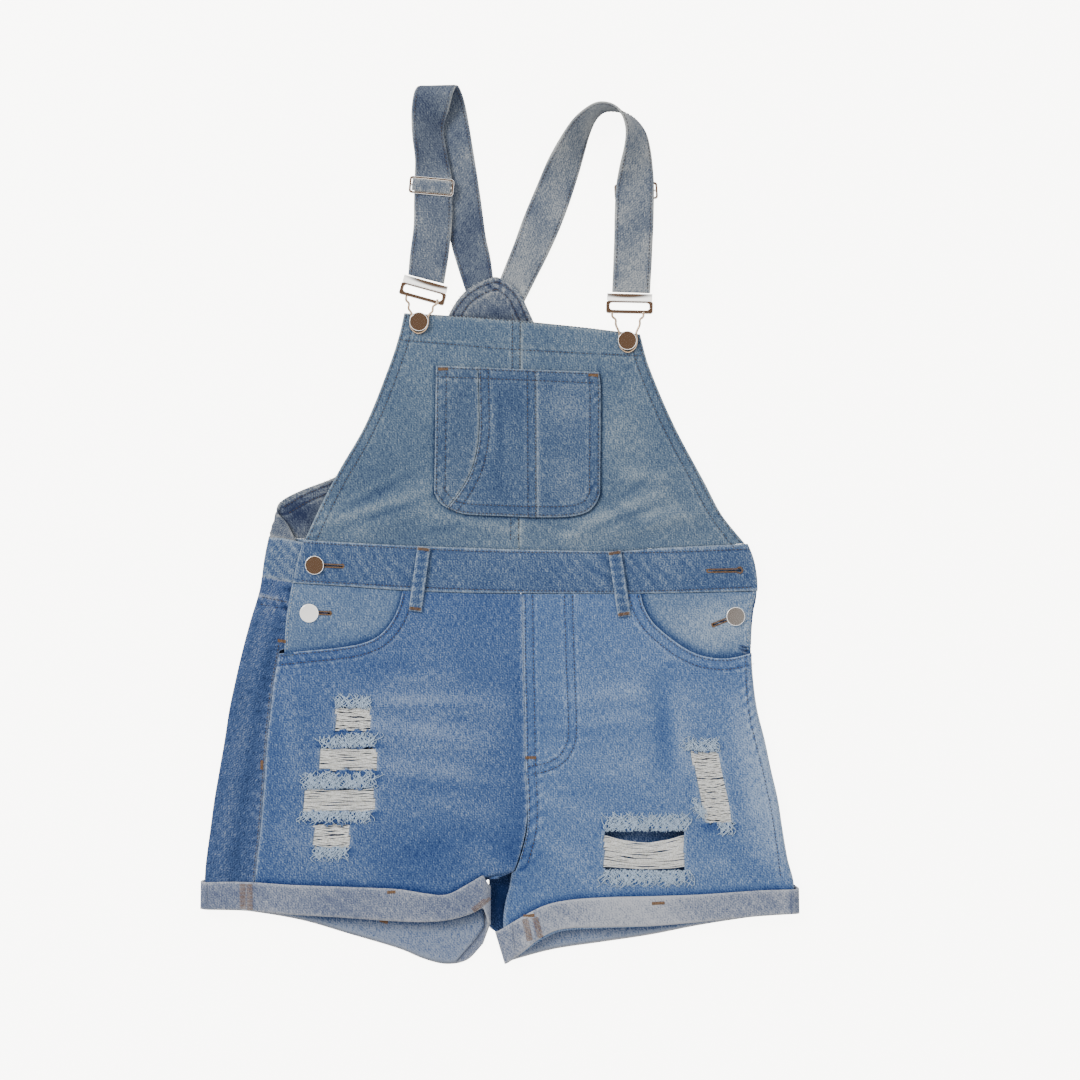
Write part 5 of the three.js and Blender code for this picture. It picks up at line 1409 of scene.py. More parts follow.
@dataclass(frozen=True)
class TurnedPiece:
    """A back piece, flat on the ground and turned up round the side."""

    side: int
    start: Profile
    end: Callable[[Array, Array], Array]
    top: Profile
    bottom: Profile
    closed_from: float = 2.0
    seams: tuple[Seam, ...] = ()

    def place(self, u: Array, v: Array) -> Pair:
        """The outer side and the unrolled pattern at shares of the piece."""
        g = np.full(u.shape, float(self.side * 100))
        for _ in range(6):
            y = lerp(self.top(g), self.bottom(g), v)
            if self.side > 0:
                g = lerp(self.start(y), self.end(y, v), u)
            else:
                g = np.where(1 - u < FOLD_SHARE, lerp(self.start(y), fold_left(y), (1 - u) / FOLD_SHARE),
                             lerp(fold_left(y), self.end(y, v), (1 - u - FOLD_SHARE) / (1 - FOLD_SHARE)))
        y = lerp(self.top(g), self.bottom(g), v)
        points = turn_up(self.side, g, y, (v >= self.closed_from) & (self.side > 0))
        fold = fold_left(y) if self.side < 0 else edge_right(y)
        shown = ease(((g - fold) * self.side - 8) / 6)
        for seam in self.seams:
            points[:, 2] += shown * seam.relief(points[:, 0], y)[0]
        return points, np.stack([g, y], 1)


def over(fold: Profile, x: float) -> Callable[[Array, Array], Array]:
    """The unrolled place of an edge that lies at x on the front."""
    return lambda y, v: 2 * fold(y) - x


def level(value: float) -> Profile:
    """The same place everywhere."""
    return lambda y: np.full(np.shape(y), value)


@dataclass
class Back:
    """The back: waistband, yokes, leg panels and bib."""

    spacing: float = 2.6

    def tone(self, x: Array, y: Array) -> Array:
        """Tone of the turned-up back: palest along its side fold, with painted highlights on its creases and a
        painted shadow at the crotch.
        """
        folded = bell(x - fold_left(y) - 14, 7) * 0.34
        seam = 0.3 * bell(np.abs(x - seam_left(y) + 3), 3) * np.sin(y / 1.4)
        streak = 0.2 * bell(x - fold_left(y) - 26, 5)
        yoke = YOKE_SEAM.relief(x, y)[1]
        inside = np.zeros_like(x)
        for table in (CUFF_LEFT, CUFF_RIGHT):
            first, last = table[0][0], table[-1][0]
            hem = column(table, 2)(np.clip(x, first, last))
            inside = inside + ((x > first) & (x < last)) * ease((hem - y - 1) / 4)
        # Painted shadow in the crotch, where the back's inner face shows.
        shadow = Fade(0, -326, 15, 28, -1.15).tone(x, y)
        # Painted highlights on the crests of the underside's pressed-up creases.
        crest = 0.2 * ridges(BACK_CREASES, x, y) - 0.2
        return 0.6 * folded + seam - streak + yoke + crest + 0.8 * inside + shadow

    def build(self) -> None:
        """Makes every back piece."""
        self.waistband()
        for side, name in ((-1, "left"), (1, "right")):
            self.yoke(side, name)
            self.leg(side, name)
        self.bib()
        front = Layer(layer_zero, (YOKE_SEAM,))
        side = Seam(((-179, -53), (-181, -60)), rows=(0.0,))
        sewn("yoke_stitching", "leg_denim", front, Thread.BROWN, (YOKE_SEAM, side))

    def waistband(self) -> None:
        """The back waistband in one piece, both ends turned up."""
        left = TurnedPiece(-1, level(18.0), over(fold_left, UNDERLAP_WAIST_LEFT), band_top, band_bottom)
        right = TurnedPiece(1, level(18.0), over(edge_right, UNDERLAP_RIGHT), band_top, band_bottom)

        def place(u: Array, v: Array) -> Pair:
            """Both halves as one run."""
            points, pattern = left.place(clamp01(2 * u), v)
            other, other_pattern = right.place(clamp01(2 * u - 1), v)
            here = (u < 0.5)[:, None]
            return np.where(here, points, other), np.where(here, pattern, other_pattern)

        def tone(x: Array, y: Array) -> Array:
            """Puckers along the band."""
            return 0.4 * np.sin((x + 0.9 * y) / 10.5 * 2 * math.pi) * 0.5 + 0.1

        Cloth("waistband_back", "leg_denim", WAIST_DENIM, place, 560, 39, tone,
              thickness=BAND, outward=-1, spacing=self.spacing, rests_on=()).build()

    def yoke(self, side: int, name: str) -> None:
        """One back yoke."""
        fold, underlap = (fold_left, UNDERLAP_LEFT) if side < 0 else (edge_right, UNDERLAP_RIGHT)
        piece = TurnedPiece(side, level(18 + side * HALF_GAP), over(fold, underlap),
                            lambda g: band_bottom(g) - BACK_GAP, yoke_bottom, seams=(YOKE_SEAM,))
        Cloth(f"back_yoke_{name}", "leg_denim", BACK_DENIM, piece.place, 290, 32,
              self.tone, outward=-1, spacing=self.spacing).build()

    def leg(self, side: int, name: str) -> None:
        """One back leg panel, from the yoke to the hem."""
        left = side < 0
        fold, underlap = (fold_left, UNDERLAP_LEFT) if left else (edge_right, UNDERLAP_RIGHT)
        low = FOLD_LEFT_LOW if left else FOLD_RIGHT_LOW
        table = CUFF_LEFT if left else CUFF_RIGHT
        inner = column(CENTRE_BACK, 1 if left else 2)
        back_hem, front_hem = column(table, 3), column(table, 2)

        def limit(x: Array) -> Array:
            """Keeps a place on the cuff's table."""
            return np.clip(x, table[0][0], table[-1][0])

        def hem(g: Array) -> Array:
            """The hem, higher where it comes round to the front."""
            past = (g - low) * side
            return lerp(back_hem(limit(g)), front_hem(limit(2 * low - g)), ease((past + 4) / 8)) + HEM_TUCK

        def start(y: Array) -> Array:
            """The inner edge."""
            plain = inner(y) + side * (HALF_GAP + 0.5 * ease((-240 - y) / 30))
            shown = ease((-301 - y) / 6) * ease((y + 362) / 14)
            return lerp(plain, -14.0, shown * ease((-318 - y) / 8)) if left else lerp(plain, -9.8, shown)

        def seam(y: Array) -> Array:
            """The side seam in the unrolled back."""
            return 2 * fold_left(y) - seam_left(y) + HALF_GAP if left else edge_right(y) - SEAM_GAP

        def end(y: Array, v: Array) -> Array:
            """The side opening's underlap above, the side seam below."""
            opening = 1 - ease((v - 0.115) / 0.04)
            return lerp(seam(y), 2 * fold(y) - underlap, opening)

        piece = TurnedPiece(side, start, end, lambda g: yoke_bottom(g) - BACK_GAP, hem, closed_from=0.12,
                            seams=(YOKE_SEAM, SIDE_LEFT))
        Cloth(f"back_{name}", "leg_denim", BACK_DENIM, piece.place, 290, 270,
              self.tone, outward=-1, spacing=self.spacing).build()

    def bib(self) -> None:
        """The back bib, grey inside out where it shows, with serged armhole edges."""
        left_edge, right_edge = column(BACK_BIB, 1), column(BACK_BIB, 2)

        def place(u: Array, v: Array) -> Pair:
            """The outer side, bent down to meet the waistband."""
            y = lerp(217.0, -15.0, v)
            g = lerp(left_edge(y), right_edge(y), u)
            share = ease((60 - y) / 75)
            low = y + share * (band_top(np.clip(g, -235, 205)) + 15 + HAIR)
            points = turn_up(-1, g, low)
            points[:, 2] += (STRAP_LAYER + SEAM_GAP) * ease((y - 178) / 10)
            return points, np.stack([g, low], 1)

        def tone(x: Array, y: Array) -> Array:
            """Worn paling, puckers and painted stitch-groove shade along the armhole edges, a painted shadow
            where the back stands up at the left armhole, and a darker band below the top middle.
            """
            # The dark patch at the left armhole is a painted shadow.
            total = 0.12 * np.sin(x / 3.1 + y / 2.3) + Fade(-176, 12, 16, 12, -1.1).tone(x, y)
            total = total + Fade(0, 186, 22, 7, -0.5).tone(x, y)
            for seam in BACK_BIB_SIDES:
                total = total + seam.relief(x, y)[1]
            return total

        Cloth("back_bib", "inside_denim", INSIDE_DENIM, place, 300, 232, tone,
              outward=-1, spacing=2.2).build()
        inside = Layer(lambda x, y: ground_at(x, y) + DENIM + (STRAP_LAYER + SEAM_GAP) * ease((y - 178) / 10))
        sewn("back_bib_stitching", "inside_denim", inside, Thread.BROWN, BACK_BIB_SIDES)
        made = bmesh.new()
        for seam in BACK_BIB_SIDES:
            line = seam.line()
            for a in line[:: max(1, len(line) // 40)]:
                z = float(inside.height(np.array([a[0]]), np.array([a[1]]))[0]) + 0.25
                Stitching(length=2.6, pitch=1.2, thick=0.55).sew(
                    made, np.array([[a[0] - 1.4, a[1] + 0.8, z], [a[0] + 1.4, a[1] - 0.8, z]]))
        stitched("back_bib_serging", "inside_denim", made, Thread.PALE)


BACK_BIB_SIDES = (
    Seam(((-3, 216), (-14, 213.5), (-31, 203), (-42, 189), (-56, 160), (-69.5, 135.5), (-86, 108),
          (-104.5, 82), (-123, 62), (-142.5, 43.5), (-172, 30), (-189, 20)),
         rows=(3.2, 9.8), pucker=0.24, shading_and_fading=0.8),
    Seam(((-3, 216), (5, 213), (16, 203), (23, 189), (37, 160), (50, 135.5), (69, 108), (88, 82),
          (109, 62), (131, 43.5), (149, 30), (161, 20), (177, 8)),
         rows=(-3.2, -9.8), pucker=0.24, shading_and_fading=0.8),
)

# Edge a's x and y, edge b's x and y, the lower edge's height, how much higher a stands, thickness
STRAP_LEFT = (
    (-80, 219, -48.7, 211, 4.3, 0, 4), (-78.3, 238, -44.8, 235.5, 4.4, 0, 4),
    (-75.3, 262, -42, 261, 4.6, 0, 4), (-75, 284, -41.6, 283, 4.8, 0, 4),
    (-74.3, 305.5, -42.2, 303.5, 5.2, 0, 2.2), (-73.8, 321, -45.4, 321, 5, 8, 2.2),
    (-75.7, 338, -48.9, 337.5, 5, 13, 2.2), (-76.3, 353, -48.7, 349, 6.5, 13.5, 2.2),
    (-75.7, 366, -44.4, 362, 11, 8, 2), (-74, 375.5, -40.5, 375, 16, 1.5, 2),
    (-70.5, 381.5, -37, 382.5, 10, 0, 2), (-66.5, 376, -33, 376.5, 3.2, 0, 2),
    (-62, 361, -29, 361, 1, 0, 2), (-55, 323, -22.6, 323, 1, 0, 2),
    (-49.3, 288, -17.2, 288, 1, 0, 2), (-43.5, 250, -12.4, 253, 1, 0, 2),
    (-38, 229, -8.4, 234, 1, 0, 2), (-28.6, 200, -5.6, 213, 1, 0, 2),
)
STRAP_RIGHT = (
    (-1.4, 212.5, 20.5, 194, 1, 0, 2), (5.6, 230, 32.2, 217.5, 1, 0, 2),
    (13, 249, 42.6, 238, 1, 0, 2), (21, 271, 52.4, 260, 1, 0, 2), (31.6, 296, 61.4, 284, 1, 2, 2),
    (42.4, 318.5, 68.7, 308, 1, 15, 2), (53, 336, 74, 327, 1, 22.5, 2),
    (63.5, 350, 78, 341.5, 1, 27.5, 2), (74, 359, 82.5, 352.5, 1, 30.5, 2),
    (83.5, 363.8, 88, 359, 1, 31.5, 2), (93.1, 363.6, 94.5, 361.8, 1, 31.6, 2),
    (101.4, 359, 106, 361, 1, 31, 2), (106.6, 351, 118, 355, 1, 29.5, 2),
    (108.8, 340.5, 126.8, 343.5, 1, 26.5, 2), (107.5, 327, 131.2, 328, 1.4, 21.5, 2),
    (103.5, 310, 133.2, 310.5, 2.6, 12, 2), (100.8, 294, 134.2, 294.5, 4.2, 0, 2.2),
    (99.8, 271.5, 134, 271.5, 3, 0, 4), (99.2, 244.5, 133, 244.5, 2.6, 0, 4),
    (97.6, 204, 130.8, 203, 3.6, 0, 4),
)


@dataclass
class Strap:
    """A shoulder strap, folded over at its top and doubled down its front."""

    name: str
    table: tuple[tuple[float, ...], ...]
    seed: float
    width: float = 32.5
    inset: float = 2.7
    worn: float = 0.0

    def run(self) -> Array:
        """Length from the start to each section, in millimetres."""
        rows = np.array(self.table, float)
        middle = np.stack([(rows[:, 0] + rows[:, 2]) / 2, (rows[:, 1] + rows[:, 3]) / 2, rows[:, 4]], 1)
        return run_of(middle)

    def section(self, v: Array) -> tuple[Array, Array, Array]:
        """Both edges and the thickness at shares of the length."""
        run = self.run()
        i = np.interp(v * run[-1], run, np.arange(len(run)))
        ax, ay, bx, by, low, rise, thick = (
            column([(k, row[n]) for k, row in enumerate(self.table)], 1)(i) for n in range(7)
        )
        low = np.maximum(STRAP_LAYER / 2, low)
        return np.stack([ax, ay, low + np.maximum(0, rise)], 1), np.stack([bx, by, low], 1), thick

    def middle(self, u: Array, v: Array) -> Array:
        """The middle surface at shares across and along."""
        a, b, _ = self.section(v)
        return lerp(a, b, u[:, None])

    def normal(self, u: Array, v: Array) -> Array:
        """Unit normals of the middle surface, up on the front run."""
        a, b, _ = self.section(v)
        step = 0.004
        ahead = self.middle(u, np.minimum(v + step, 1)) - self.middle(u, np.maximum(v - step, 0))
        n = np.cross(b - a, ahead)
        return n / np.linalg.norm(n, axis=1)[:, None]

    def build(self) -> None:
        """Makes the strap and its topstitching on both faces."""
        length = float(self.run()[-1])
        made, start = grid(18, math.ceil(length / 2))
        u, v = start[:, 0] + 0.5, start[:, 1] + 0.5
        off, along = (u - 0.5) * self.width, v * length
        edge = self.width / 2 - np.abs(off)
        crest = np.sin(along / 6.2 + 0.5 * np.sin(along / 19 + self.seed) + np.sign(off) * 0.8)
        puff = 0.22 * crest * bell(edge - self.inset, 3.2)
        points = self.middle(u, v) + self.normal(u, v) * puff[:, None]
        _, _, thick = self.section(v)
        groove = bell(edge - self.inset, 0.8)
        # Pale edges are worn; the dark line along the stitching is painted shade in its groove, and the pucker
        # crests get painted highlights with painted shade between them.
        tone = 0.9 * np.exp(-edge / 1.3) - 0.7 * groove + 0.42 * crest * np.exp(-edge / 6) - 0.05
        tone = tone + 0.16 * np.sin(along / 31 + self.seed) + 0.12 * np.sin(along / 13 + off / 6) + self.worn
        dress(made, points, np.stack([off, along], 1), tone)
        rounded = 1 - 0.45 * np.exp(-edge / 0.9)
        weights = made.verts.layers.deform.new()
        for vertex, share in zip(made.verts, thick * rounded / 4):
            vertex[weights][0] = min(1.0, share)
        piece = put(f"{self.name}_cloth", made, "pale_denim", STRAP_DENIM.material(), self.name)
        piece.vertex_groups.new(name="thick")
        wall = piece.modifiers.new("cloth", "SOLIDIFY")
        wall.thickness, wall.offset, wall.vertex_group = 4 * MM, 0, "thick"
        self.topstitch(length)

    def topstitch(self, length: float) -> None:
        """Sews a row inside each edge, on both faces."""
        made = bmesh.new()
        v = np.linspace(0.006, 0.994, math.ceil(length / 3))
        _, _, thick = self.section(v)
        share = self.inset / self.width
        for place in (share, 1 - share):
            u = np.full(v.shape, place)
            for face in (1, -1):
                lift = face * (thick / 2 - 0.02)
                Stitching(raised=0).sew(made, self.middle(u, v) + self.normal(u, v) * lift[:, None])
        stitched(f"{self.name}_stitching", "pale_denim", made, Thread.BROWN)


@dataclass
class Cuff:
    """A leg's turned-up hem, a flattened ring round both layers."""

    name: str
    table: tuple[tuple[float, ...], ...]
    outer_top: Point
    outer_bottom: Point
    inner_top: Point
    inner_bottom: Point
    inner_first: bool
    seed: float
    stations: int = 140
    turns: int = 18

    def loop(self) -> Rings:
        """The ring's upper edge, lower edge and outward direction, station by station."""
        first, last = self.table[0][0], self.table[-1][0]
        x = np.linspace(first, last, self.stations)
        front_top, front_low, back_low = (column(self.table, k)(x) for k in (1, 2, 3))
        rise = np.maximum(panel_top(x, front_top), panel_top(x, front_low)) + CUFF_WALL + 2.5 * SEAM_GAP
        inner_x = first if self.inner_first else last
        slant = (3 if self.inner_first else 0) * ease((30 - np.abs(x - inner_x)) / 30)
        zero = np.zeros_like(x)
        up = np.column_stack([zero, zero, zero + 1])
        front = (np.column_stack([x, front_top, rise]), np.column_stack([x + slant, front_low, rise]), up)
        back = (*(np.column_stack([x, y, zero])[::-1] for y in (back_low + CUFF_BACK_HEIGHT, back_low)), -up)
        ends = ((self.inner_top, self.inner_bottom), (self.outer_top, self.outer_bottom))
        at_first, at_last = ends if self.inner_first else ends[::-1]
        right, left = self.corner(front, back, at_last, 1), self.corner(back, front, at_first, -1)
        return tuple(np.vstack(rows) for rows in zip(front, right, back, left))

    def corner(self, before: Rings, after: Rings, end: tuple[Point, Point], side: int) -> Rings:
        """The turn from one side of the leg to the other.

        Args:
            before: The ring before the turn.
            after: The ring after it.
            end: The turn's outermost upper and lower places.
            side: 1 towards +X, from on top, and -1 towards -X, from below.

        Returns:
            Upper edges, lower edges and outward directions.
        """
        angle = np.linspace(0, math.pi, self.turns + 2)[1:-1][:, None]
        reach = np.sin(angle)
        rise, fall = before[0][-1][2], after[0][0][2]
        z = (rise + fall) / 2 + (rise - fall) / 2 * np.cos(angle)
        rows = []
        for a, b, limit in zip(before, after, end):
            plan = lerp(np.where(angle <= math.pi / 2, a[-1][:2], b[0][:2]), np.array(limit, float), reach)
            rows.append(np.hstack([plan, z]))
        return rows[0], rows[1], np.hstack([side * reach, np.zeros_like(reach), side * np.cos(angle)])

    def build(self) -> None:
        """Makes the cuff, joined all round."""
        tops, bottoms, outs = self.loop()
        middle = (tops + bottoms) / 2
        run = run_of(np.vstack([middle, middle[:1]]))
        girth = float(run[-1])
        height = float(np.linalg.norm(tops - bottoms, axis=1).mean())

        def place(u: Array, v: Array) -> Pair:
            """The outer side of the ring."""
            s = u * girth
            top, low, out = (
                np.stack([np.interp(s, run, np.append(rows[:, k], rows[0, k])) for k in range(3)], 1)
                for rows in (tops, bottoms, outs)
            )
            p = lerp(top, low, v[:, None])
            edge = np.minimum(v, 1 - v) * height
            above = ease((out[:, 2] - 0.2) / 0.5)
            wave = 0.45 * np.sin(s / 17 + self.seed) * np.sin(v * math.pi)
            wave = wave + 0.12 * np.sin((s + 6 * v) / 3.4 + self.seed)
            lift = above * wave - 0.75 * np.exp(-edge / 1.2) * np.maximum(above, 0)
            return p + out * lift[:, None], np.stack([s, (1 - v) * height], 1)

        def tone(x: Array, y: Array) -> Array:
            """Worn edges, turned seams and streaks."""
            streak = 0.1 * np.sin(x / 3.4 + y / 2.2 + self.seed) * np.sin(x / 29)
            streak = streak + 0.1 * np.sin(x / 17 + np.sin(y / 6))
            streak = streak + (0.7 * bell(x - 110, 80) if self.name == "cuff_right" else 0)
            strip = sum(bell(x - at, 5.5) * 0.3 - 0.5 * bell(x - at - 6.5, 1)
                        for at in CUFF_SEAMS[self.name])
            return streak + strip

        Cloth(self.name, "inside_denim", CUFF_DENIM, place, girth, height, tone,
              thickness=CUFF_WALL, spacing=2.2, edge_wear=0.8, held="folded", closed=True).build()


CUFF_SEAMS = {"cuff_left": (-220, -10), "cuff_right": (24, 246)}
CUFFS = (
    Cuff("cuff_left", CUFF_LEFT, (-260.6, -309), (-261, -333), (-8, -313), (-8, -346), False, 0.4),
    Cuff("cuff_right", CUFF_RIGHT, (260.2, -315), (260.6, -336.8), (-4.5, -353), (4, -381), True, 2.1),
)


@dataclass(frozen=True)
class Nickel:
    """Polished nickel, which mirrors the room."""

    name: str
    color: Triple
    roughness: float

    def material(self) -> bpy.types.Material:
        """Builds the finish once."""
        found = bpy.data.materials.get(self.name)
        if found:
            return found
        graph = Graph(self.name)
        scratch = graph.noise(graph.node("ShaderNodeTexCoord").outputs["Object"], 1.0, 3, (900, 240, 900))
        graph.tint(scratch, (0.3, tuple(c * 0.97 for c in self.color)), (0.7, self.color))
        graph.bump(scratch, 0.04, 0.00003)
        constants(graph.shader, {"Metallic": 1.0, "Roughness": self.roughness})
        return graph.material


NICKEL = Nickel("polished_nickel", (0.82, 0.81, 0.79), 0.1)
# A darkened, brown-tinted copy of the nickel for the wire hooks: a painted reflection of dark brown
# surroundings.
NICKEL_PAINTED_DARK = Nickel("nickel_painted_dark_reflection", (0.34, 0.25, 0.17), 0.22)


def tube(made: Mesh, line: Array, wide: float, tall: float, closed: bool = False, sides: int = 10) -> None:
    """Adds a rounded bar along a line.

    Args:
        made: The mesh to add it to.
        line: Its centreline in millimetres.
        wide: Its half width, level with the ground.
        tall: Its half height.
        closed: Whether it joins its own start.
        sides: Faces round it.
    """
    count = len(line)
    ring = np.vstack([line, line[:1]]) if closed else line
    way = np.gradient(ring, axis=0)
    if closed:
        way[0] = way[-1] = ring[1] - ring[-2]
    way /= np.linalg.norm(way, axis=1)[:, None]
    side = np.cross(np.array([0, 0, 1.0]), way)
    side /= np.maximum(np.linalg.norm(side, axis=1)[:, None], 1e-6)
    up = np.cross(way, side)
    steps = count if closed else count - 1
    before = set(made.verts)
    grid = bmesh.ops.create_grid(made, x_segments=sides, y_segments=steps, size=0.5)["verts"]
    for vertex in grid:
        angle = (vertex.co.x + 0.5) * 2 * math.pi
        k = round((vertex.co.y + 0.5) * steps)
        p = ring[k] + side[k] * wide * math.cos(angle) + up[k] * tall * math.sin(angle)
        vertex.co = p * MM
    new = [vertex for vertex in made.verts if vertex not in before]
    bmesh.ops.remove_doubles(made, verts=new, dist=0.001 * MM)
    new = [vertex for vertex in made.verts if vertex not in before]
    rims = [edge for vertex in new for edge in vertex.link_edges if edge.is_boundary]
    if rims:
        bmesh.ops.holes_fill(made, edges=list(set(rims)), sides=sides)
    faces = {face for vertex in new for face in vertex.link_faces}
    bmesh.ops.recalc_face_normals(made, faces=list(faces))


def rounded_oblong(width: float, height: float, corner: float) -> Array:
    """An oblong's outline with round corners, anticlockwise from its lower right."""
    places = []
    for k, (sx, sy) in enumerate(((1, -1), (1, 1), (-1, 1), (-1, -1))):
        for a in np.linspace(0, math.pi / 2, 5):
            turn = (k - 1) * math.pi / 2 + a
            places.append((sx * (width / 2 - corner) + corner * math.cos(turn),
                           sy * (height / 2 - corner) + corner * math.sin(turn), 0.0))
    ring = np.array([*places, places[0]])
    return follow(ring, np.linspace(0, run_of(ring)[-1], 73)[:-1])


def flat_ring(made: Mesh, outer: Array, inner: Array, thick: float) -> None:
    """Adds a flat bar bent into a ring, with bevelled edges.

    Args:
        made: The mesh to add it to.
        outer: Its outer outline, at its lower face.
        inner: Its inner outline, with as many places.
        thick: Its thickness in millimetres.
    """
    loops = []
    for line in (outer, inner):
        corners = [made.verts.new(place * MM) for place in line]
        loops += [made.edges.new(pair) for pair in zip(corners, corners[1:] + corners[:1])]
    faces = bmesh.ops.bridge_loops(made, edges=loops)["faces"]
    grown = bmesh.ops.extrude_face_region(made, geom=faces)["geom"]
    top = [item for item in grown if isinstance(item, bmesh.types.BMVert)]
    bmesh.ops.translate(made, verts=top, vec=(0, 0, thick * MM))
    whole = {face for vertex in top for face in vertex.link_faces}
    whole |= {face for item in list(whole) for edge in item.edges for face in edge.link_faces}
    whole |= set(faces)
    bmesh.ops.recalc_face_normals(made, faces=list(whole))
    sharp = [edge for edge in made.edges if edge.is_manifold and edge in {e for f in whole for e in f.edges}
             and edge.calc_face_angle(0) > 1.2]
    bmesh.ops.bevel(made, geom=sharp, offset=0.28 * MM, segments=2, profile=0.5,
                    affect="EDGES", material=-1)


@dataclass(frozen=True)
class Placing:
    """Where a metal part lies, in millimetres and radians."""

    x: float
    y: float
    z: float
    turn: float

    def move(self, line: Array) -> Array:
        """Turns a line and puts it in place."""
        c, s = math.cos(self.turn), math.sin(self.turn)
        x, y = line[:, 0], line[:, 1]
        return np.stack([self.x + c * x - s * y, self.y + s * x + c * y, self.z + line[:, 2]], 1)


@dataclass
class Hardware:
    """Adjusters, fastened buckles and shank buttons."""

    frame_width: float = 41.0
    frame_height: float = 17.4
    wire: float = 1.0

    def build(self) -> None:
        """Makes every metal part."""
        self.slider("slider_left", Placing(-59.6, 295.4, 8.2, -0.09), 39)
        self.slider("slider_right", Placing(118.6, 291.8, 1.0, 0.06), 38)
        self.frame("buckle_frame_left", Placing(-66.6, 205.3, 4.6, -0.27))
        self.frame("buckle_frame_right", Placing(112.8, 193.6, 4.6, -0.02))
        self.hook("buckle_hook_left", Placing(-70.5, 177, 7.0, -0.12), 22)
        self.hook("buckle_hook_right", Placing(111.2, 160.6, 7.0, 0.0), 25.5)
        for button in BUTTONS:
            button.build()

    def finish(self, name: str, made: Mesh, finish: Nickel) -> None:
        """Shows a metal mesh in its node's place, with true flats."""
        for face in made.faces:
            face.smooth = not any(edge.calc_face_angle(0) < 0.001 for edge in face.edges)
        put(f"{name}_metal", made, "polished_metal", finish.material(), name)

    def slider(self, name: str, at: Placing, width: float) -> None:
        """A wire adjuster: a rounded oblong with a middle bar."""
        made = bmesh.new()
        height, bar = 15.0, 1.9
        down = np.array([0, 0, -bar / 2])
        flat_ring(made, at.move(rounded_oblong(width, height, 2.5) + down),
                  at.move(rounded_oblong(width - 2 * bar, height - 2 * bar, 1.2) + down), bar)
        reach = np.linspace(-width / 2 + bar, width / 2 - bar, 9)
        across_bar = np.column_stack([reach, np.zeros(9), np.zeros(9)])
        tube(made, at.move(across_bar), bar / 2, bar / 2 * 0.94)
        self.finish(name, made, NICKEL)
        if at.z > 5:
            self.turned_strap(at)

    def turned_strap(self, at: Placing) -> None:
        """The strap's short stretch over the middle bar of an adjuster."""

        def place(u: Array, v: Array) -> Pair:
            """Its outer side."""
            off, along = (u - 0.5) * 33.5, (0.5 - v) * 10.6
            lift = 1.3 + 1.1 * np.cos(math.pi * (v - 0.5)) ** 0.6
            return at.move(np.column_stack([off, along, lift])), np.stack([off, along], 1)

        Cloth("strap_left_over_bar", "pale_denim", STRAP_DENIM, place, 33.5, 10.6,
              lambda x, y: 0.12 * np.sin(x * 0.5) - 0.1, thickness=0.9, spacing=1.0,
              rests_on=("strap_left_cloth",), packed=False).build()

    def frame(self, name: str, at: Placing) -> None:
        """A buckle's frame: a folded plate above a slot with a round bar below."""
        made = bmesh.new()
        width, height, thick = self.frame_width, self.frame_height, 1.9
        plate_height = 6.3
        ring_height = height - plate_height
        middle = (ring_height - height) / 2
        outer = rounded_oblong(width, ring_height, 2.0) + np.array([0, middle, -thick / 2])
        slot = rounded_oblong(34.5, 6.2, 2.2) + np.array([0, -2.4, -thick / 2])
        flat_ring(made, at.move(outer), at.move(slot), thick)
        plate = bmesh.ops.create_cube(made, size=1)["verts"]
        matrix = (Matrix.Translation(Vector((at.x, at.y, at.z)) * MM) @ Matrix.Rotation(at.turn, 4, "Z")
                  @ Matrix.Translation(Vector((0, (height - plate_height) / 2 + 0.1, 0)) * MM)
                  @ Matrix.Rotation(0.17, 4, "X")
                  @ Matrix.Diagonal(((width - 1.6) * MM, plate_height * MM, 1.1 * MM, 1)))
        bmesh.ops.transform(made, matrix=matrix, verts=plate)
        edges = list({edge for vertex in plate for edge in vertex.link_edges})
        bmesh.ops.bevel(made, geom=edges, offset=0.35 * MM, segments=3, profile=0.5,
                        affect="EDGES", material=-1)
        self.finish(name, made, NICKEL)

    def hook(self, name: str, at: Placing, reach: float) -> None:
        """The wire hook, from the frame's bar round the button's shank and back."""
        half = ((13.6, reach), (13.4, reach - 4), (10.6, reach - 6.5), (10.4, reach - 11), (7.2, 6.8), (7.8, 1),
                (6.0, -5.6))
        points = [(-u, v) for u, v in half] + [(0.0, -9.2)] + [(u, v) for u, v in reversed(half)]
        line = smooth_route(points)(np.linspace(0, 1, 64))
        made = bmesh.new()
        tube(made, at.move(np.column_stack([line, np.zeros(len(line))])), self.wire, self.wire, sides=14)
        self.finish(name, made, NICKEL_PAINTED_DARK)


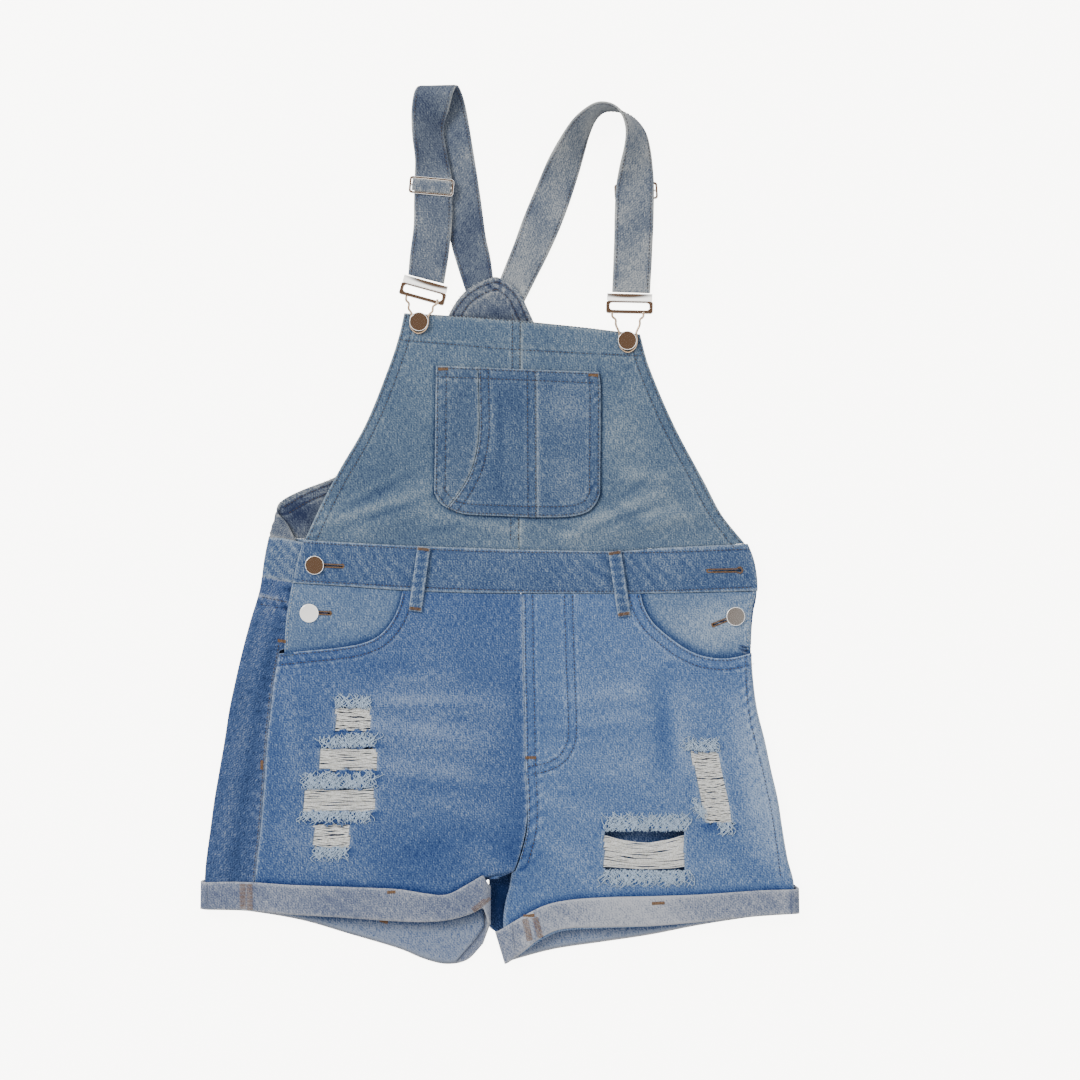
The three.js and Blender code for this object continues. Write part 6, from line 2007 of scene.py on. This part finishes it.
@dataclass(frozen=True)
class ShankButton:
    """A shank button with a flat polished cap."""

    name: str
    x: float
    y: float
    seat: float
    under: float
    tilt: float = 0.0
    heading: float = 0.0

    def build(self) -> None:
        """Spins the profile and puts it in its node's place."""
        base = float(layer_zero(np.array([self.x]), np.array([self.y]))[0])
        shank = self.under - self.seat
        cap = ((2.2, 0), (7.5, 0), (8.15, 0.35), (8.3, 1.0), (8.25, 1.7), (7.95, 2.2), (7.75, 2.3), (7.5, 2.3),
               (3, 2.3), (0, 2.3))
        profile = ((0, 0), (2.2, 0), *((r, shank + h) for r, h in cap))
        made = bmesh.new()
        chain = [made.verts.new((r * MM, 0, h * MM)) for r, h in profile]
        edges = [made.edges.new(pair) for pair in zip(chain, chain[1:])]
        bmesh.ops.spin(made, geom=[*chain, *edges], cent=(0, 0, 0), axis=(0, 0, 1), angle=2 * math.pi, steps=56,
                       use_merge=True)
        bmesh.ops.remove_doubles(made, verts=made.verts, dist=0.002 * MM)
        bmesh.ops.recalc_face_normals(made, faces=made.faces)
        axis = Vector((math.cos(self.heading), math.sin(self.heading), 0))
        turn = Matrix.Rotation(self.tilt, 4, axis)
        place = Matrix.Translation(Vector((self.x, self.y, base + self.seat)) * MM)
        bmesh.ops.transform(made, matrix=place @ turn, verts=made.verts)
        Hardware().finish(self.name, made, NICKEL)


BUTTONS = (
    ShankButton("button_bib_left", -70.5, 177.5, BIB_LAYER + 1.1, BIB_LAYER + 3.7),
    ShankButton("button_bib_right", 110.7, 161.2, BIB_LAYER + 1.1, BIB_LAYER + 3.7),
    ShankButton("button_waist_left", -161, -34, SEAM_GAP, WAISTBAND_LAYER + 0.7, tilt=0.02, heading=0.0),
    ShankButton("button_hip_left", -166, -75.3, SEAM_GAP, FACING_LAYER + 0.7, tilt=0.16, heading=0.6),
    ShankButton("button_hip_right", 204.5, -78.5, SEAM_GAP, FACING_LAYER + 0.7, tilt=0.06, heading=1.4),
)


@dataclass
class WornPlaces:
    """Loose weft threads across the rips and frayed warp ends along their edges."""

    pitch: float = 0.82
    seed: int = 7

    def build(self) -> None:
        """Makes the threads of each rip and the frays."""
        chance = np.random.default_rng(self.seed)
        for rip in RIPS:
            self.wefts(rip, chance)
        for fray in FRAYS:
            self.fray(fray, chance)

    def wefts(self, rip: Rip, chance: np.random.Generator) -> None:
        """The white weft threads of one rip, sagging a little and out of line."""
        made = bmesh.new()
        count = int(rip.height / self.pitch)
        for k in range(count):
            v = (k + 0.5) / count
            if rip.name == "right_2" and (v < 0.16 or v > 0.86):
                continue
            y = rip.y + (v - 0.5) * rip.height + chance.normal(0, 0.25)
            t = np.linspace(-0.04, 1.04, 15)
            sag = rip.sag * (1 if rip.name != "right_2" else 0.4 + 0.9 * v) + chance.normal(0, 0.3)
            wobble = 0.4 * np.sin(t * 7 + chance.uniform(0, 6)) + 0.25 * np.sin(t * 19 + chance.uniform(0, 6))
            py = y - sag * np.sin(math.pi * clamp01(t)) + wobble
            px = rip.x + (t - 0.5) * rip.width + rip.lean * (py - rip.y)
            depth = 0.9 + chance.uniform(0, 0.8)
            pz = panel_top(px, py) - depth * np.sin(math.pi * clamp01(t)) ** 0.5 - 0.3
            tube(made, np.column_stack([px, py, pz]), 0.5, 0.34, sides=5)
        self.show(f"rip_threads_{rip.name}", made, "weft_thread", RIP_YARN)

    def fray(self, fray: Fray, chance: np.random.Generator) -> None:
        """The ragged warp ends of one edge."""
        made = bmesh.new()
        start, end = np.array(fray.start), np.array(fray.end)
        count = int(np.hypot(*(end - start)) / 0.55)
        for k in range(count):
            base = lerp(start, end, (k + 0.5) / count) + chance.normal(0, 0.5, 2)
            length = fray.length * chance.uniform(0.6, 1.3)
            lean = chance.normal(0, 0.3)
            t = np.linspace(-0.12, 1, 8)
            curl = chance.uniform(0.1, 0.36) * np.sin(t * chance.uniform(3, 8) + chance.uniform(0, 6))
            px = base[0] + length * (lean * t + curl)
            py = base[1] + fray.way * length * t
            pz = panel_top(px, py) + 0.25 + 0.5 * np.sin(math.pi * clamp01(t)) + chance.uniform(0, 0.35)
            tube(made, np.column_stack([px, py, pz]), 0.3, 0.24, sides=4)
        self.show(f"fray_{fray.name}", made, "frayed_warp", FRAY_YARN)

    def show(self, name: str, made: Mesh, slot: str, yarn: Yarn) -> None:
        """Shows threads in their node's place."""
        smooth(made)
        put(f"{name}_yarn", made, slot, yarn.material(), name)


@dataclass(frozen=True)
class Fray:
    """A frayed edge: where its ends are rooted and which way they point."""

    name: str
    start: Point
    end: Point
    way: int
    length: float


FRAYS = (
    Fray("left_1", (-142, -156.5), (-112, -157.5), 1, 9),
    Fray("left_2", (-154, -192), (-108, -190), 1, 9.5),
    Fray("left_3", (-170, -227), (-110, -226), 1, 11),
    Fray("left_4", (-172, -248.5), (-112, -248.5), -1, 8),
    Fray("left_5", (-162, -280), (-132, -279.5), -1, 9),
    Fray("right_1", (160, -194), (190, -195), 1, 9),
    Fray("right_2", (168, -236), (178, -249), -1, 8),
    Fray("right_3", (190, -258.5), (203, -258.5), -1, 9),
    Fray("right_4", (91, -263.5), (163, -263.5), 1, 12),
    Fray("right_5", (90, -300), (165, -300), -1, 11),
)
RIP_YARN = Yarn("rip_weft", srgb(250, 248, 234))
FRAY_YARN = Yarn("frayed_ends", srgb(182, 202, 224))


@dataclass(frozen=True)
class Bars:
    """Bartacks and overlocked seam ends, sewn onto whatever lies on top."""

    tacks: tuple[tuple[float, float, float, float], ...] = (
        (-53.3, 136.6, -45.2, 136.9), (77.2, 131.5, 85.3, 131.2), (22.6, -201, 31.3, -201),
        (-193, -99.4, -186.2, -100.4), (-206.7, -204, -206.9, -212), (-97.5, -317.4, -90.3, -317),
        (-104.5, -343.4, -97.4, -345.6), (132, -327.1, 142.7, -326.6), (20.5, -338.2, 30.3, -337.2),
    )
    seams: tuple[tuple[float, float, float, float], ...] = (
        (-223.4, -311, -223.2, -332), (-217.4, -311, -217, -333), (21.8, -341, 26.1, -360),
        (30.4, -340, 35.4, -357.6), (-23, -333, -9, -322),
    )

    def build(self) -> None:
        """Sews them all."""
        bpy.context.view_layer.update()
        made = bmesh.new()
        for x1, y1, x2, y2 in self.tacks:
            self.row(made, (x1, y1), (x2, y2), 0.62, 2.3)
        for x1, y1, x2, y2 in self.seams:
            self.row(made, (x1, y1), (x2, y2), 1.15, 3.6)
        stitched("bartacks", "weft_thread", made, Thread.RUST)

    def row(self, made: Mesh, start: Point, end: Point, step: float,
            wide: float) -> None:
        """One row of stitches across a line."""
        graph = bpy.context.evaluated_depsgraph_get()
        run = np.array(end) - np.array(start)
        length = float(np.hypot(*run))
        side = np.array([-run[1], run[0]]) / length * wide / 2
        for k in range(int(length / step) + 1):
            p = np.array(start) + run * min(1.0, k * step / length)
            above = Vector((p[0] * MM, p[1] * MM, 1))
            hit, place, *_ = bpy.context.scene.ray_cast(graph, above, Vector((0, 0, -1)))
            if hit and place.z > 0.0005:
                z = place.z / MM + 0.1
                Stitching(length=wide, pitch=1.0, thick=0.62).sew(
                    made, np.array([[*(p - side), z], [*(p + side), z]]))


@dataclass(frozen=True)
class Studio:
    """The floor, the light and the camera straight above."""

    centre: Point = (34.8, -12.2)
    view_width: float = 939.6
    height: float = 2000.0
    sensor: float = 36.0
    glow: float = 7.6

    def build(self) -> None:
        """Sets the stage."""
        self.floor()
        self.room()
        self.lamps()
        data = bpy.data.cameras.new("camera")
        data.sensor_width = self.sensor
        data.lens = self.sensor * self.height / self.view_width
        data.clip_start, data.clip_end = 0.05, 20
        camera = bpy.data.objects.new("camera", data)
        camera.location = (self.centre[0] * MM, self.centre[1] * MM, (self.height + 7) * MM)
        bpy.context.collection.objects.link(camera)
        bpy.context.scene.camera = camera

    def floor(self) -> None:
        """A plain pale floor."""
        made = bmesh.new()
        bmesh.ops.create_grid(made, x_segments=1, y_segments=1, size=4.0)
        bmesh.ops.translate(made, verts=made.verts, vec=(0, 0, -0.0004))
        graph = Graph("floor")
        constants(graph.shader, {"Base Color": (0.86, 0.85, 0.84, 1), "Roughness": 0.9,
                                 "Emission Color": (1.0, 0.985, 0.94, 1)})
        seen = graph.node("ShaderNodeLightPath").outputs["Is Camera Ray"]
        graph.link(graph.math("MULTIPLY", seen, self.glow), graph.shader.inputs["Emission Strength"])
        mix = graph.node("ShaderNodeMixShader")
        graph.link(graph.node("ShaderNodeNewGeometry").outputs["Backfacing"], mix.inputs["Fac"])
        graph.link(graph.shader.outputs[0], mix.inputs[1])
        graph.link(graph.node("ShaderNodeBsdfTransparent").outputs[0], mix.inputs[2])
        graph.link(mix.outputs[0], graph.tree.nodes["Material Output"].inputs["Surface"])
        shown("floor", made, graph.material)

    def room(self) -> None:
        """White walls, and a dark warm ceiling patch that only polished metal mirrors."""
        world = bpy.data.worlds.new("room")
        world.use_nodes = True
        bpy.context.scene.world = world
        tree = world.node_tree
        background, direction, split, ramp, rays, mix, bright = tree.nodes["Background"], *(
            tree.nodes.new(f"ShaderNode{kind}")
            for kind in ("TexCoord", "SeparateXYZ", "ValToRGB", "LightPath", "Mix", "VectorMath")
        )
        mix.data_type, bright.operation = "RGBA", "SCALE"
        constants(background, {"Strength": 1.0})
        constants(mix, {"A": (0.66, 0.655, 0.65, 1)})
        constants(bright, {"Scale": 3.4})
        set_stops(ramp, (0.935, (1, 0.985, 0.96)), (0.984, (0.058, 0.033, 0.019)), (0.974, (0.1, 0.098, 0.096)))
        for out, into in (
            (direction.outputs["Generated"], split.inputs[0]),
            (split.outputs["Z"], ramp.inputs["Fac"]),
            (rays.outputs["Is Glossy Ray"], mix.inputs["Factor"]),
            (ramp.outputs["Color"], bright.inputs[0]),
            (bright.outputs[0], mix.inputs["B"]),
            (mix.outputs["Result"], background.inputs["Color"]),
        ):
            tree.links.new(out, into)

    def lamps(self) -> None:
        """One broad lamp at the upper left and a weaker one at the right."""
        for name, place, power, size in (
            ("key", (-1.9, 1.5, 2.2), 79, 1.3), ("fill", (2.2, -1.0, 2.0), 17, 2.2),
        ):
            data = bpy.data.lights.new(name, "AREA")
            data.energy, data.size = power, size
            lamp = bpy.data.objects.new(name, data)
            lamp.location = place
            lamp.rotation_euler = (-Vector(place)).to_track_quat("-Z", "Y").to_euler()
            bpy.context.collection.objects.link(lamp)


def main() -> None:
    """Builds the garment over its frame and reports each piece."""
    logging.basicConfig(level=logging.INFO, format="%(message)s")
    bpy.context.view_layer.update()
    Studio().build()
    parts = (Back(), HipFacings(), FrontLegs(), Waistband(), Bib(), BibPocket(),
             Strap("strap_left", STRAP_LEFT, 0.3, worn=-0.26), Strap("strap_right", STRAP_RIGHT, 1.9, worn=0.3),
             *CUFFS, Hardware(), WornPlaces(), Bars())
    for part in parts:
        part.build()
        LOG.info("%s built", type(part).__name__)


if __name__ == "__main__":
    main()
